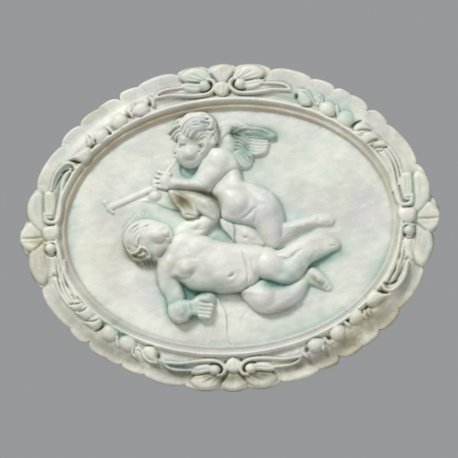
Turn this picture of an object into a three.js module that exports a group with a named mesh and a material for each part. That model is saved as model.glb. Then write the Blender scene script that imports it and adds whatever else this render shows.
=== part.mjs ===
// Cherub wall plaque: an oval relief, cast in one piece, of two cherubs inside a scrolled frame.
// Units are millimetres. The plaque stands upright as it hangs: X runs along its length, Z is up,
// and its flat back lies at Y = 0 against the wall, so the carved front faces -Y.
// The origin is the middle of the back.
import * as THREE from 'three';

// Driving sizes
const OVAL_LENGTH = 416; // long axis of the oval that the scalloped rim follows
const OVAL_HEIGHT = 324; // its short axis
const FIELD_THICKNESS = 9; // plain ground behind the figures, measured from the back
const BAND_RISE = 3; // outer band of the frame, above the field
const LIP_RISE = 9.4; // ridge between the band and the cove, above the field
const COVE_RISE = 3.9; // flat of the cove inside the lip, above the field
const FRAME_WIDTH = 48.5; // from the oval's edge in to the field
const ORNAMENT_RELIEF = 9.8; // the small shell on the frame's left, its highest ornament, above the band
const FIGURE_RELIEF = 18; // the lower cherub's belly, the highest place, above the field
const CREASE_DEPTH = 0.5; // creases that part the lobes of the rim
const BACK_PANEL = 40; // reach of the whole facet in the middle of the back
const SURFACE_TOLERANCE = 17; // largest error of a facet times its length, in square millimetres

// The modeller's drawing sheet: x to the right, y down, one unit to the millimetre at the drawn size.
// The oval lies a little tilted on the sheet, and the plaque hangs with it level.
const SHEET_CENTRE = [230, 226.5];
const SHEET_TILT = 2.2 * (Math.PI / 180);
const DRAWN_LENGTH = 416;
const DRAWN_HEIGHT = 324;
const DRAWN_FRAME_WIDTH = 48.5;
const DRAWN_FIGURE_RELIEF = 21.6;
const DRAWN_ORNAMENT_RELIEF = 9.8;
const TOP_ORNAMENT_AXIS = [224, 64.6];
const ORNAMENT_BLEND = 0.8; // softness of the join between the ornament and the band

// Shares that give every form its section
const LIMB_ROUNDNESS = 0.92; // height of a limb over its radius
const SOFT_POWER = 2.7; // how late the side of a soft body falls
const CRISP_REACH = 1.5; // of its half width, to where a crisp form has dropped away
const SOFT_REACH = 1.7; // the same for a soft one
const SWELL_REACH = 2.5; // the same for a swelling
const WALL_STEEPNESS = 6; // fall of a form's side outside its outline
const FAR_BELOW = -40; // under every form, where there is none
const GRID = 256; // cells across the finest grid, a power of two
const CURVE_STEPS = 8; // straight pieces between two points of a curve
const OUTLINE_STEPS = 4; // straight sides between two points of an outline
const OUTLINE_MARGIN = 3; // how far past an outline its form is still worked out
const TOUCHING = 0.02; // nearest that a point counts as off an outline

// Joins two heights with a soft valley between them
function smoothMax(a, b, blend) {
  const share = Math.max(blend - Math.abs(a - b), 0) / Math.max(blend, 1e-6);
  return Math.max(a, b) + share * share * blend * 0.25;
}

function lerp(a, b, t) {
  return a + (b - a) * t;
}

// A form has a box on the sheet, the softness of its join, and a height at each point
function form(points, reach, blend, height) {
  const xs = points.map((p) => p[0]);
  const ys = points.map((p) => p[1]);
  return {
    left: Math.min(...xs) - reach,
    right: Math.max(...xs) + reach,
    top: Math.min(...ys) - reach,
    bottom: Math.max(...ys) + reach,
    blend,
    height,
  };
}

// Distance from a form's centre, 1 at its oval outline
function ovalDistance(centre, half, turn) {
  const cos = Math.cos(turn * (Math.PI / 180));
  const sin = Math.sin(turn * (Math.PI / 180));
  return (x, y) => {
    const dx = x - centre[0];
    const dy = y - centre[1];
    return Math.hypot((dx * cos + dy * sin) / half[0], (dy * cos - dx * sin) / half[1]);
  };
}

// Bead or knob with a crisp outline
function dome(centre, half, turn, foot, rise, blend) {
  const distance = ovalDistance(centre, half, turn);
  const fall = Math.min(...half) * WALL_STEEPNESS;
  return form([centre], Math.max(...half) * CRISP_REACH, blend, (x, y) => {
    const d = distance(x, y);
    return d < 1 ? foot + rise * Math.sqrt(1 - d * d) : foot - (d - 1) * fall;
  });
}

// Soft body whose sides lean out to meet what it lies on
function mass(centre, half, turn, foot, rise, blend) {
  const distance = ovalDistance(centre, half, turn);
  return form([centre], Math.max(...half) * SOFT_REACH, blend, (x, y) => {
    return foot + rise * (1 - distance(x, y) ** SOFT_POWER);
  });
}

// Distance from a tapered limb's line, 1 at its outline, and the height of its line there
function limbDistance(start, startRadius, startFoot, end, endRadius, endFoot) {
  const dx = end[0] - start[0];
  const dy = end[1] - start[1];
  return (x, y) => {
    const along = ((x - start[0]) * dx + (y - start[1]) * dy) / (dx * dx + dy * dy);
    const t = Math.min(Math.max(along, 0), 1);
    const radius = lerp(startRadius, endRadius, t);
    const d = Math.hypot(x - start[0] - t * dx, y - start[1] - t * dy) / radius;
    return [d, radius, lerp(startFoot, endFoot, t)];
  };
}

// Finger or tube: a tapered rod with a crisp outline
function limb(start, startRadius, startFoot, end, endRadius, endFoot, blend) {
  const distance = limbDistance(start, startRadius, startFoot, end, endRadius, endFoot);
  return form([start, end], Math.max(startRadius, endRadius) * CRISP_REACH, blend, (x, y) => {
    const [d, radius, foot] = distance(x, y);
    if (d >= 1) return foot - (d - 1) * radius * WALL_STEEPNESS;
    return foot + LIMB_ROUNDNESS * radius * Math.sqrt(1 - d * d);
  });
}

// Arm or leg: the same with soft sides
function softLimb(start, startRadius, startFoot, end, endRadius, endFoot, blend) {
  const distance = limbDistance(start, startRadius, startFoot, end, endRadius, endFoot);
  return form([start, end], Math.max(startRadius, endRadius) * SOFT_REACH, blend, (x, y) => {
    const [d, radius, foot] = distance(x, y);
    return foot + LIMB_ROUNDNESS * radius * (1 - d ** SOFT_POWER);
  });
}

// Smooth line through its points: straight for two, one bow for three, a curve through all for more
function route(points) {
  const [a, b, c] = points.map((p) => new THREE.Vector2(...p));
  if (points.length === 2) return [a, b];
  if (points.length === 3) return new THREE.QuadraticBezierCurve(a, b, c).getPoints(CURVE_STEPS * 2);
  const spline = new THREE.SplineCurve(points.map((p) => new THREE.Vector2(...p)));
  return spline.getPoints(CURVE_STEPS * (points.length - 1));
}

// Nearest place on a line: share of its length, distance from it, and the side it lies on
function alongRoute(points) {
  const line = route(points);
  const lengths = line.slice(1).map((p, i) => p.distanceTo(line[i]));
  const total = lengths.reduce((sum, length) => sum + length, 0);
  return (x, y) => {
    let best = [0, Infinity, 1];
    let run = 0;
    lengths.forEach((length, i) => {
      const dx = line[i + 1].x - line[i].x;
      const dy = line[i + 1].y - line[i].y;
      const share = ((x - line[i].x) * dx + (y - line[i].y) * dy) / (length * length);
      const t = Math.min(Math.max(share, 0), 1);
      const px = x - line[i].x - t * dx;
      const py = y - line[i].y - t * dy;
      const d = Math.hypot(px, py);
      if (d < best[1]) best = [(run + t * length) / total, d, Math.sign(dx * py - dy * px)];
      run += length;
    });
    return best;
  };
}

// Scroll or stem of round section along a line
function cord(points, startWidth, endWidth, foot, rise, blend) {
  const nearest = alongRoute(points);
  return form(points, Math.max(startWidth, endWidth) * CRISP_REACH, blend, (x, y) => {
    const [t, distance] = nearest(x, y);
    const width = lerp(startWidth, endWidth, t);
    const d = distance / width;
    return d < 1 ? foot + rise * Math.sqrt(1 - d * d) : foot - (d - 1) * width * WALL_STEEPNESS;
  });
}

// Leaf, feather or lock of hair along a line, pointed at both ends, with one edge lifted by the tilt
function leaf(points, halfWidth, [startFoot, endFoot], rise, tilt, widest, blend) {
  const nearest = alongRoute(points);
  return form(points, halfWidth * CRISP_REACH, blend, (x, y) => {
    const [t, distance, side] = nearest(x, y);
    const bow = t < widest ? t / widest : (1 - t) / (1 - widest);
    const width = halfWidth * Math.sqrt(Math.max(1 - (1 - bow) ** 2, 0.02));
    const d = distance / width;
    const foot = lerp(startFoot, endFoot, t);
    if (d >= 1) return foot - (d - 1) * width * WALL_STEEPNESS;
    return foot + rise * Math.sqrt(1 - d * d) + tilt * side * d;
  });
}

// Smooth closed line through its points
function closedRoute(points) {
  return points.flatMap((b, i) => {
    const at = (step) => points[(i + step + points.length) % points.length];
    const [a, c, d] = [at(-1), at(1), at(2)];
    return Array.from({ length: OUTLINE_STEPS }, (_, k) => {
      const t = k / OUTLINE_STEPS;
      return [0, 1].map((axis) => {
        const bow = 2 * a[axis] - 5 * b[axis] + 4 * c[axis] - d[axis];
        const swing = 3 * b[axis] - a[axis] - 3 * c[axis] + d[axis];
        return b[axis] + 0.5 * ((c[axis] - a[axis]) * t + bow * t ** 2 + swing * t ** 3);
      });
    });
  });
}

// Depth inside a closed outline: true near its edge, evened out in the middle, negative outside
function inward(outline) {
  const corners = closedRoute(outline);
  const sides = corners.map(([ax, ay], i) => {
    const [bx, by] = corners[(i + 1) % corners.length];
    const length = Math.hypot(bx - ax, by - ay);
    return { ax, ay, bx, by, length, dx: (bx - ax) / length, dy: (by - ay) / length };
  });
  return (x, y) => {
    let pull = 0;
    let isInside = false;
    for (const { ax, ay, bx, by, length, dx, dy } of sides) {
      const along = (x - ax) * dx + (y - ay) * dy;
      const off = Math.max(Math.abs((x - ax) * dy - (y - ay) * dx), TOUCHING);
      const rest = length - along;
      pull += (along / Math.hypot(off, along) + rest / Math.hypot(off, rest)) / off ** 2;
      if (ay > y !== by > y && x < ax + ((y - ay) * (bx - ax)) / (by - ay)) isInside = !isInside;
    }
    return (isInside ? 1 : -1) * Math.sqrt(2 / Math.max(pull, 1e-9));
  };
}

// Rise of a rounded edge, from 0 at the outline to 1 at the full depth of the edge
function roundedEdge(depth, edge) {
  const short = 1 - Math.min(Math.max(depth / edge, 0), 1);
  return Math.sqrt(1 - short * short);
}

// Raised shape with a rounded edge and its own outline
function plate(outline, edge, foot, rise, blend) {
  const depthAt = inward(outline);
  return form(outline, OUTLINE_MARGIN, blend, (x, y) => {
    const depth = depthAt(x, y);
    return depth > 0 ? foot + rise * roundedEdge(depth, edge) : foot + depth * WALL_STEEPNESS;
  });
}

// Soft swelling, or a hollow where the amount is negative, added to what is there
function swell(centre, half, turn, amount) {
  const distance = ovalDistance(centre, half, turn);
  return form([centre], Math.max(...half) * SWELL_REACH, 0, (x, y) => {
    return amount * Math.exp(-(distance(x, y) ** 2));
  });
}

// Line pressed into what is there, fading at both ends
function groove(points, halfWidth, depth) {
  const nearest = alongRoute(points);
  return form(points, halfWidth, 0, (x, y) => {
    const [t, distance] = nearest(x, y);
    const d = Math.min(distance / halfWidth, 1);
    return -depth * (1 - d) ** 2 * (1 + 2 * d) * Math.sqrt(4 * t * (1 - t));
  });
}

// A row of like forms, with every number between those of the first and of the last
function fan(count, kind, first, last) {
  const between = (a, b, t) => {
    return Array.isArray(a) ? a.map((value, i) => between(value, b[i], t)) : lerp(a, b, t);
  };
  return Array.from({ length: count }, (_, i) => kind(...between(first, last, i / (count - 1))));
}

function isNear(box, x, y) {
  return x > box.left && x < box.right && y > box.top && y < box.bottom;
}

// Height of a group of forms at one point, from a given height up
function heightOf(forms, marks, x, y, start = FAR_BELOW) {
  const body = forms.reduce((h, f) => (isNear(f, x, y) ? smoothMax(h, f.height(x, y), f.blend) : h), start);
  return body + marksAt(marks, x, y);
}

function marksAt(marks, x, y) {
  return marks.reduce((sum, f) => (isNear(f, x, y) ? sum + f.height(x, y) : sum), 0);
}

// Height that runs evenly from one anchor to the next
function levelBetween([[ax, ay, low], last], x, y) {
  if (!last) return low;
  const [bx, by, high] = last;
  const [dx, dy] = [bx - ax, by - ay];
  const share = ((x - ax) * dx + (y - ay) * dy) / (dx * dx + dy * dy);
  return lerp(low, high, Math.min(Math.max(share, 0), 1));
}

// Height function of one part of a figure: its forms, cut to its outline with a rounded edge
function figureHeight({ outline, edge, foot, rise, forms, marks }) {
  if (!outline) return (x, y) => heightOf(forms, marks, x, y);
  const depthAt = inward(outline);
  const box = form(outline, OUTLINE_MARGIN, 0, depthAt);
  return (x, y) => {
    if (!isNear(box, x, y)) return FAR_BELOW;
    const depth = depthAt(x, y);
    if (depth <= 0) return foot + depth * WALL_STEEPNESS;
    const body = heightOf(forms, marks, x, y, foot + levelBetween(rise, x, y));
    return foot + (body - foot) * roundedEdge(depth, edge);
  };
}

// Rim
// Each lobe: angle and offset of its notch, then of its crest, from the oval; they repeat after half a turn
const LOBES = [
  [-4.5, -6.0, 0.8, 2.5], [6.0, -6.0, 11.0, -1.6], [15.5, -7.0, 22.0, -2.2],
  [30.0, -5.2, 34.5, -1.2], [37.0, -8.2, 41.5, -0.4], [44.5, -2.2, 47.0, -0.4],
  [49.7, -5.0, 53.0, 0.0], [58.0, -3.3, 65.5, 1.8], [72.3, -3.2, 78.5, 2.5],
  [85.0, -2.4, 90.0, 2.4], [95.0, -2.4, 101.0, 2.6], [106.5, -3.2, 113.5, 2.2],
  [120.5, -2.2, 125.5, 0.6], [128.0, -7.8, 132.0, -0.2], [135.5, -2.0, 139.5, -0.4],
  [143.0, -5.2, 147.0, -0.8], [151.5, -5.8, 160.0, -2.2], [166.0, -7.0, 171.0, -1.5],
];
const CREASE_WIDTH = 1.8;
const LOBE_BULGE = 0.45; // crest of a lobe over its creases, at the rim
const BULGE_REACH = 12; // how far in from the oval the lobes swell the band
const LEVEL_ARCH = 0.6; // place up a lobe where the swelling turns into a hollow
const RIM_HOLD = 6; // how closely the rings inside the rim keep to the plain oval

// Offset of the rim from the oval and how far up a lobe it is, at an angle in degrees
function rimAt(angle) {
  const turned = ((((angle - LOBES[0][0]) % 180) + 180) % 180) + LOBES[0][0];
  const i = LOBES.findLastIndex((lobe) => lobe[0] <= turned);
  const [startAngle, start, crestAngle, crest] = LOBES[i];
  const next = LOBES[i + 1] ?? [LOBES[0][0] + 180, LOBES[0][1]];
  const rising = turned < crestAngle;
  const up = (turned - startAngle) / (crestAngle - startAngle);
  const t = rising ? up : (next[0] - turned) / (next[0] - crestAngle);
  const arch = Math.sqrt(1 - (1 - t) ** 2);
  return { offset: lerp(rising ? start : next[1], crest, arch), arch };
}

// Radius of the drawn oval at an angle in radians
function ovalRadius(angle) {
  const a = DRAWN_LENGTH / 2;
  const b = DRAWN_HEIGHT / 2;
  return (a * b) / Math.hypot(b * Math.cos(angle), a * Math.sin(angle));
}

// From the level plaque to the tilted sheet and back
function toSheet(u, v) {
  const x = u * Math.cos(SHEET_TILT) - v * Math.sin(SHEET_TILT);
  const y = u * Math.sin(SHEET_TILT) + v * Math.cos(SHEET_TILT);
  return [SHEET_CENTRE[0] + x, SHEET_CENTRE[1] - y];
}

function sheetPoint(degrees, inside) {
  const angle = degrees * (Math.PI / 180);
  const radius = ovalRadius(angle) - inside;
  return toSheet(radius * Math.cos(angle), radius * Math.sin(angle));
}

const RIM_CREASES = LOBES.flatMap(([angle]) => {
  return [angle, angle + 180].map((degrees) => {
    const places = [sheetPoint(degrees, -4), sheetPoint(degrees - 0.7, 3), sheetPoint(degrees - 1.8, 10)];
    return groove(places, CREASE_WIDTH, CREASE_DEPTH);
  });
});

// Frame section, from the rim inwards: place inside the oval and height above the field
const FRAME_SECTION = [
  [-8, 0.2 * BAND_RISE], [-2, 0.85 * BAND_RISE], [1.5, 1.2 * BAND_RISE], [4, 1.1 * BAND_RISE],
  [9, 0.9 * BAND_RISE], [13, 1.05 * BAND_RISE], [17, 1.6 * BAND_RISE], [21, 2.1 * BAND_RISE],
  [25, 2.05 * BAND_RISE], [28, 1.65 * BAND_RISE], [31, 1.7 * BAND_RISE], [33, 0.8 * LIP_RISE],
  [34.3, LIP_RISE], [35.2, 0.98 * LIP_RISE], [36.2, 0.66 * LIP_RISE], [37.6, 1.12 * COVE_RISE],
  [39.2, 0.95 * COVE_RISE], [41, 1.1 * COVE_RISE], [42.6, COVE_RISE], [43.4, 0.6 * COVE_RISE],
  [44.4, 0.02 * COVE_RISE], [DRAWN_FRAME_WIDTH, 0],
];

function frameSection(inside) {
  const place = inside > 0 ? inside * (DRAWN_FRAME_WIDTH / FRAME_WIDTH) : inside;
  const i = FRAME_SECTION.findIndex((point) => point[0] > place);
  if (i < 0) return 0;
  if (i === 0) return FRAME_SECTION[0][1];
  const [a, b] = [FRAME_SECTION[i - 1], FRAME_SECTION[i]];
  return lerp(a[1], b[1], (place - a[0]) / (b[0] - a[0]));
}

// Ornament of the frame; feet are heights above the band

// Shell in the middle of the top
const TOP_MIDDLE = [
  plate([[210.4, 70.6], [216, 65.4], [224, 62.4], [231.6, 63.8], [237, 69], [234, 76], [229.6, 83],
    [219.6, 83], [214.4, 76]], 4.5, -1, 4.6, 0.5),
  plate([[217, 83], [224, 80.6], [231, 83], [232.6, 88], [230, 93], [225.4, 96], [220, 94.4], [216, 91.6],
    [215.4, 87]], 5, 2, 6, 0.8),
];
// Leaf scroll beside it, which the other side mirrors
const TOP_SCROLL = [
  plate([[180.6, 75.6], [184.4, 70.8], [190.4, 67.4], [198, 66.2], [206, 68.2], [211, 71.4], [214.4, 78],
    [208, 82], [198, 83], [188, 82], [183, 79.6]], 4.5, -0.6, 5.2, 0.5),
  plate([[182.6, 83], [190, 81.4], [199, 82], [206, 81.6], [210.4, 85], [205.4, 90], [197, 92],
    [189, 90.8], [184.6, 87.6]], 3.6, 0.8, 4.8, 0.5),
  cord([[209.6, 79.2], [214.8, 80.2], [217.2, 85.2], [214, 90.8], [206.6, 94], [196, 95], [184, 94.6],
    [172, 94.2], [158, 96.4]], 2.1, 1.5, 3, 4, 0.8),
  cord([[185, 86.4], [176, 87.2], [166, 88.8], [159.4, 92.2], [156, 98]], 1.4, 1.9, 1.6, 3.4, 0.8),
  dome([206.8, 84.8], [5.8, 5], 20, 3.4, 5.4, 0.5),
];
const TOP_SCROLL_MARKS = [
  groove([[210.4, 80.2], [213.8, 84.6], [211.6, 89.2], [206, 91.6], [201, 90]], 1.6, 3.2),
];
// Shell, leaves and scrolls at the left end; the right end is its mirror image
const LEFT_ORNAMENT = [
  plate([[29.6, 219.4], [22.4, 225.4], [18.4, 232], [18.6, 239], [22.4, 245], [29, 250.4], [36, 249],
    [44.6, 240], [43.4, 231], [37, 225]], 4.4, -0.8, 4.8, 0.5),
  plate([[38.6, 188.4], [33, 190.2], [28.6, 195], [26.2, 202], [25.8, 208.6], [27.2, 215.4], [30, 220.4],
    [35.4, 226.4], [42, 231], [46, 226], [45.8, 216], [45.4, 204], [44.6, 194]], 5.5, -0.8, 5.4, 0.4),
  plate([[30, 250], [28, 256], [27.8, 262.6], [29.8, 269.8], [34, 277], [38.4, 281.8], [42.8, 283],
    [46.4, 281], [49, 275.4], [49.4, 268], [47, 261], [46.4, 252], [46, 243.6], [41, 241.4], [35.4, 246]],
    5.5, -0.8, 5.6, 0.4),
  plate([[47, 253.6], [49.6, 261], [50, 269], [49, 275], [53, 276.6], [57, 272.4], [58.2, 262],
    [57, 252.6], [52, 250.6]], 3.2, 0.4, 4.4, 0.4),
  plate([[42.4, 231.6], [44.2, 225.6], [50.6, 223.8], [58, 224], [60.6, 229], [58.2, 236.6], [52, 240.4],
    [46, 238.6]], 5, 2.6, 5.6, 0.6),
  plate([[44.4, 190.4], [51, 188.8], [55.8, 193], [56.4, 202], [55.4, 210], [53.8, 216], [47, 216.6],
    [44.4, 208], [43.8, 198]], 3.2, 1.6, 4.2, 0.5),
  dome([51, 246.8], [5.4, 5], 0, 4, 5.8, 0.3),
  cord([[46.4, 242], [53.6, 240.2], [58.6, 244], [61, 252], [62.8, 262], [65.8, 273], [70.8, 284],
    [78, 295]], 1.7, 1.5, 2.8, 3.6, 0.8),
  cord([[57.6, 257], [60.4, 270], [65, 282], [72, 292.6]], 1.2, 1.3, 1.8, 2.8, 0.6),
  cord([[54.6, 275], [58.2, 284], [62.8, 292.4], [69, 299.8], [76, 305.6]], 1.7, 1.9, 1.2, 3.4, 0.8),
  cord([[45.4, 212.6], [46.6, 219], [53, 221.2], [59, 217.4], [61.2, 208], [61.4, 196], [62.6, 185],
    [66, 175], [70.6, 167.6]], 2.4, 1.5, 2.6, 3.8, 0.8),
];
const LEFT_ORNAMENT_MARKS = [
  groove([[19.6, 237], [30, 236.6], [43, 235.8]], 2.4, 1.8),
  groove([[45.8, 248.6], [48.6, 254], [54, 254.2], [57, 249.4]], 1.6, 2.8),
  swell([51.6, 222.9], [5, 1], 0, -2.6),
  swell([55.6, 275], [3, 2], 20, -2.6),
];
// Beads, bellflower and C-scroll from the top round to the left
const BEAD_RUN = [
  leaf([[149.6, 95.6], [155.6, 98.4], [155, 105.4]], 2.6, [2.6, 2.4], 4, 0.4, 0.5, 0.6),
  dome([142.4, 107.8], [9.6, 7.4], -26, 1, 6.6, 2.2),
  leaf([[135.6, 101.4], [133.4, 106.6], [135.4, 112.6]], 2, [2.6, 2.6], 3.6, 0.4, 0.5, 0.6),
  leaf([[127, 107.6], [131.6, 110.4], [134, 115.6]], 2, [2.4, 2.4], 3.2, 0.4, 0.5, 0.6),
  dome([120.6, 119.6], [8.8, 7.8], -35, 1, 6.6, 2.2),
  leaf([[107.6, 125], [112.8, 128], [114, 133]], 2, [2.4, 2.4], 3.2, 0.4, 0.5, 0.6),
  dome([101.6, 134.4], [9.4, 7.4], -36, 1, 6.4, 2.2),
  leaf([[91.4, 132.4], [94.6, 136.4], [94.2, 142]], 2.2, [2.6, 3], 4, 0.5, 0.5, 0.5),
  leaf([[88.4, 136], [91, 140], [90.6, 145]], 1.8, [2.6, 2.6], 3.4, 0.5, 0.5, 0.5),
  plate([[66, 158], [74.6, 152.4], [82, 147], [89.6, 144.4], [93, 149], [91.6, 156], [86, 161],
    [80, 160.4], [74.6, 157.8]], 6.5, 1.2, 7.6, 0.8),
  cord([[76.6, 166.6], [73, 161.8], [66, 161.6], [58, 168.6], [53, 178.6], [51.4, 188.6]], 2, 1.4, 2, 4.4,
    0.8),
  cord([[69.6, 168], [64, 175], [61.4, 184], [61.4, 194]], 1.5, 1.3, 2, 3, 0.8),
];
const BEAD_RUN_MARKS = [
  swell([151, 103], [2, 2.8], 20, -4.4),
  swell([129.6, 114.4], [3, 1.9], 25, -4.4),
  swell([111.2, 131.6], [2.2, 1.6], 0, -4),
  swell([91.4, 144.4], [2.6, 1.4], -20, -4),
  groove([[70, 158.8], [77, 158.4], [85, 162.6]], 2, 3.6),
  groove([[61, 171.6], [66, 166.4], [74.6, 168.4]], 2, 3.4),
  groove([[65.6, 168.4], [58, 176.6], [55, 188.4]], 1.6, 2.8),
];
// Beads, three bellflowers and their stems from the top round to the right
const FLOWER_RUN = [
  plate([[300, 92], [306, 92.4], [312.4, 97], [315, 103], [311.6, 108], [305, 107.6], [301, 103],
    [299, 97]], 5.5, 1, 7, 1),
  cord([[301, 91.4], [308.6, 92.6], [314.4, 98.6], [318, 104.6], [322.4, 106], [325.6, 101.6],
    [322.6, 97]], 1.7, 1.2, 2, 3.6, 0.8),
  dome([330.4, 110.8], [9.4, 8], 32, 1, 6.6, 2.2),
  leaf([[339, 107], [341.6, 112], [340, 118]], 2, [2.4, 2.4], 3.4, 0.4, 0.5, 0.6),
  dome([348.2, 121], [9.4, 8.4], 35, 1, 6.6, 2.2),
  plate([[355.6, 131], [358.6, 126.6], [364, 124.8], [370, 127.6], [375.4, 133.6], [370, 134.6],
    [364.6, 139.6], [358.6, 138]], 5, 1.4, 6.8, 0.6),
  plate([[362.6, 139.6], [366.6, 134.6], [374, 134], [380.6, 138.6], [383.6, 142.6], [378.6, 144.4],
    [374.4, 149.6], [368, 148]], 5.4, 1.6, 7.2, 0.6),
  plate([[374, 148], [378, 143.6], [384.6, 143.4], [390.6, 148.6], [387, 150.6], [383, 154.4],
    [377, 153]], 4.2, 1.6, 6, 0.6),
  ...fan(4, cord,
    [[[391, 150.4], [398, 160.6], [402.4, 172], [404, 184]], 1.5, 1.2, 2, 3.4, 0.5],
    [[[381.6, 154], [388, 164.6], [392.4, 178], [394.6, 194]], 1.4, 1.2, 2, 3, 0.5]),
];
const FLOWER_RUN_MARKS = [
  swell([299.6, 97.6], [2.2, 2.6], 0, -4.4),
  groove([[303.6, 106.8], [308, 109], [312.6, 107]], 1.5, 1.8),
  groove([[354, 128.6], [358.6, 123.6], [365, 123]], 1.8, 3.4),
  groove([[358.4, 134.8], [365.6, 131], [375, 133.4]], 1.8, 3.4),
  groove([[370, 147.6], [374.6, 142.6], [382, 141.4]], 1.8, 3.4),
  groove([[376, 151.6], [382, 149.4], [389.6, 150]], 2, 3.6),
];
const ORNAMENT = [...TOP_MIDDLE, ...TOP_SCROLL, ...BEAD_RUN, ...FLOWER_RUN];
const ORNAMENT_MARKS = [...TOP_SCROLL_MARKS, ...BEAD_RUN_MARKS, ...FLOWER_RUN_MARKS];

// Below the two ends the frame is its upper half turned half round
function halfTurned(x, y) {
  return [2 * SHEET_CENTRE[0] - x, 2 * SHEET_CENTRE[1] - y];
}

// Mirror image across the upright axis of the top ornament
function mirrored(x, y) {
  const axis = [Math.sin(SHEET_TILT), Math.cos(SHEET_TILT)];
  const dx = x - TOP_ORNAMENT_AXIS[0];
  const dy = y - TOP_ORNAMENT_AXIS[1];
  const along = dx * axis[0] + dy * axis[1];
  return [TOP_ORNAMENT_AXIS[0] + 2 * along * axis[0] - dx, TOP_ORNAMENT_AXIS[1] + 2 * along * axis[1] - dy];
}

// Figures; feet and rises are drawn heights above the field, and each group lies over those before it

// Upper cherub, who flies in from the right and blows a trumpet
const UPPER_WING = {
  outline: [[219, 124], [226, 119.4], [236, 118.6], [246, 121.6], [252, 125.6], [260, 126.4], [269, 129],
    [276, 132.6], [278.4, 136], [274.4, 139.6], [270.6, 141], [272.8, 142.6], [271, 146], [270.8, 149.6],
    [268, 153.6], [260, 156.2], [255.6, 158.4], [254.8, 163], [251.4, 167.6], [245, 169.6], [238, 169],
    [231, 166.4], [225, 160], [221, 152], [218, 140], [217, 131]],
  edge: 2.6, foot: -0.3, rise: [[228, 145, 4.6], [272, 142, 2.6]], blend: 0.6,
  forms: [
    mass([232, 143], [8.5, 14], -6, 0.5, 8, 3),
    leaf([[236, 132], [257, 126.8], [277.6, 136.6]], 6.6, [2.6, 2], 4.6, 0.4, 0.66, 1.2),
    ...fan(5, leaf,
      [[[247, 138], [260, 143.4], [273.4, 141.2]], 2.1, [3.4, 1.4], 2.6, -0.9, 0.62, 0.2],
      [[[246, 150], [257, 157.2], [268.4, 152.6]], 2.5, [2.4, 1.2], 3, -0.9, 0.62, 0.2]),
    ...fan(4, leaf,
      [[[252, 128.6], [262, 128.6], [272, 133]], 1.7, [6.4, 5.4], 1.6, -0.5, 0.6, 0.2],
      [[[248, 136.4], [258, 137.6], [268, 138.6]], 1.5, [4.4, 3.6], 1.6, -0.5, 0.6, 0.2]),
    ...fan(5, leaf,
      [[[238.6, 133.4], [245, 134], [251.6, 141]], 1.9, [5.4, 4.2], 2.4, -0.8, 0.55, 0.2],
      [[[236, 147], [243, 148.6], [249, 156.6]], 2.1, [5.4, 3.6], 2.4, -0.8, 0.55, 0.2]),
    dome([243.5, 161.5], [10.5, 7.4], 8, 0.4, 5, 1.5),
    ...fan(5, leaf,
      [[[240, 149.6], [248, 151], [255.6, 159.6]], 2, [4.6, 3.8], 2.6, -0.8, 0.6, 0.2],
      [[[231, 154.4], [236.6, 158.6], [239, 168.4]], 2.2, [5, 3], 2.6, -0.8, 0.6, 0.2]),
    ...fan(5, leaf,
      [[[221, 122.4], [228, 119.6], [235, 123.6]], 1.9, [2.6, 2.6], 2.2, -0.6, 0.5, 0.2],
      [[[221.6, 138], [226.6, 132], [233, 131]], 2, [4, 4.4], 2.4, -0.6, 0.5, 0.2]),
    ...fan(3, leaf,
      [[[236, 119.6], [243, 120.4], [249, 126]], 1.9, [2.6, 2.4], 2, -0.6, 0.55, 0.2],
      [[[229, 124.6], [237, 124.4], [243, 128.6]], 1.9, [3.4, 3], 2, -0.6, 0.55, 0.2]),
    dome([229, 157.6], [4, 3.6], 0, 5.6, 3.2, 0.6),
    dome([223.6, 152], [3.2, 3], 0, 5.6, 2.4, 0.8),
  ],
  marks: [
    groove([[241, 130.6], [256, 129.4], [264, 131.6], [272, 135.6]], 3, 2),
    swell([240.5, 132.8], [8, 3.6], -6, -3.8),
    groove([[232.4, 131.4], [234.4, 135], [238, 138.8]], 1.8, 3),
    swell([248.4, 146.6], [2.4, 3.6], -20, -2.4),
  ],
};
const UPPER_FAR_KNEE = {
  outline: [[233, 224], [241, 223], [250, 225], [257, 229], [264, 239], [266, 246], [256, 247],
    [243, 246], [235, 240]],
  edge: 6, foot: -1, rise: [[250, 236, 7]], blend: 2,
  forms: [mass([251, 234], [12, 8], 20, 0, 8.4, 3)],
  marks: [],
};
const TRUMPET = {
  blend: 0.4,
  forms: [
    limb([157, 185.4], 2.7, 0.4, [109, 206.2], 3.6, -0.8, 0.6),
    limb([178, 157.6], 1.7, 3, [166.5, 173.5], 2.3, 3, 1),
    cord([[104.8, 200.4], [107.6, 205.6], [112.8, 211]], 1.5, 1.5, 0.2, 3, 0.5),
  ],
  marks: [],
};
const UPPER_FAR_ARM = {
  outline: [[139, 199.4], [147, 196.6], [151, 190], [157, 187.4], [164, 188.6], [174, 192], [182, 202],
    [184, 210], [172, 208.8], [163, 205.4], [151, 201.4]],
  edge: 4, foot: -0.6, rise: [[150, 196, 2.4], [176, 204, 4.2]], blend: 0.6,
  forms: [mass([156, 194.4], [7.4, 6.2], -8, 0.4, 6, 1.5)],
  marks: [],
};
const UPPER_FAR_SHOULDER = {
  outline: [[176, 156], [181.4, 162], [182, 170], [185, 175.2], [191, 176.8], [195, 173.4], [197.4, 167],
    [204, 172], [202, 184], [180, 184], [168, 180], [166, 172], [171, 163]],
  edge: 3, foot: -0.6, rise: [[175, 168, 4.6], [196, 180, 5]], blend: 0.6,
  forms: [],
  marks: [],
};
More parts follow.
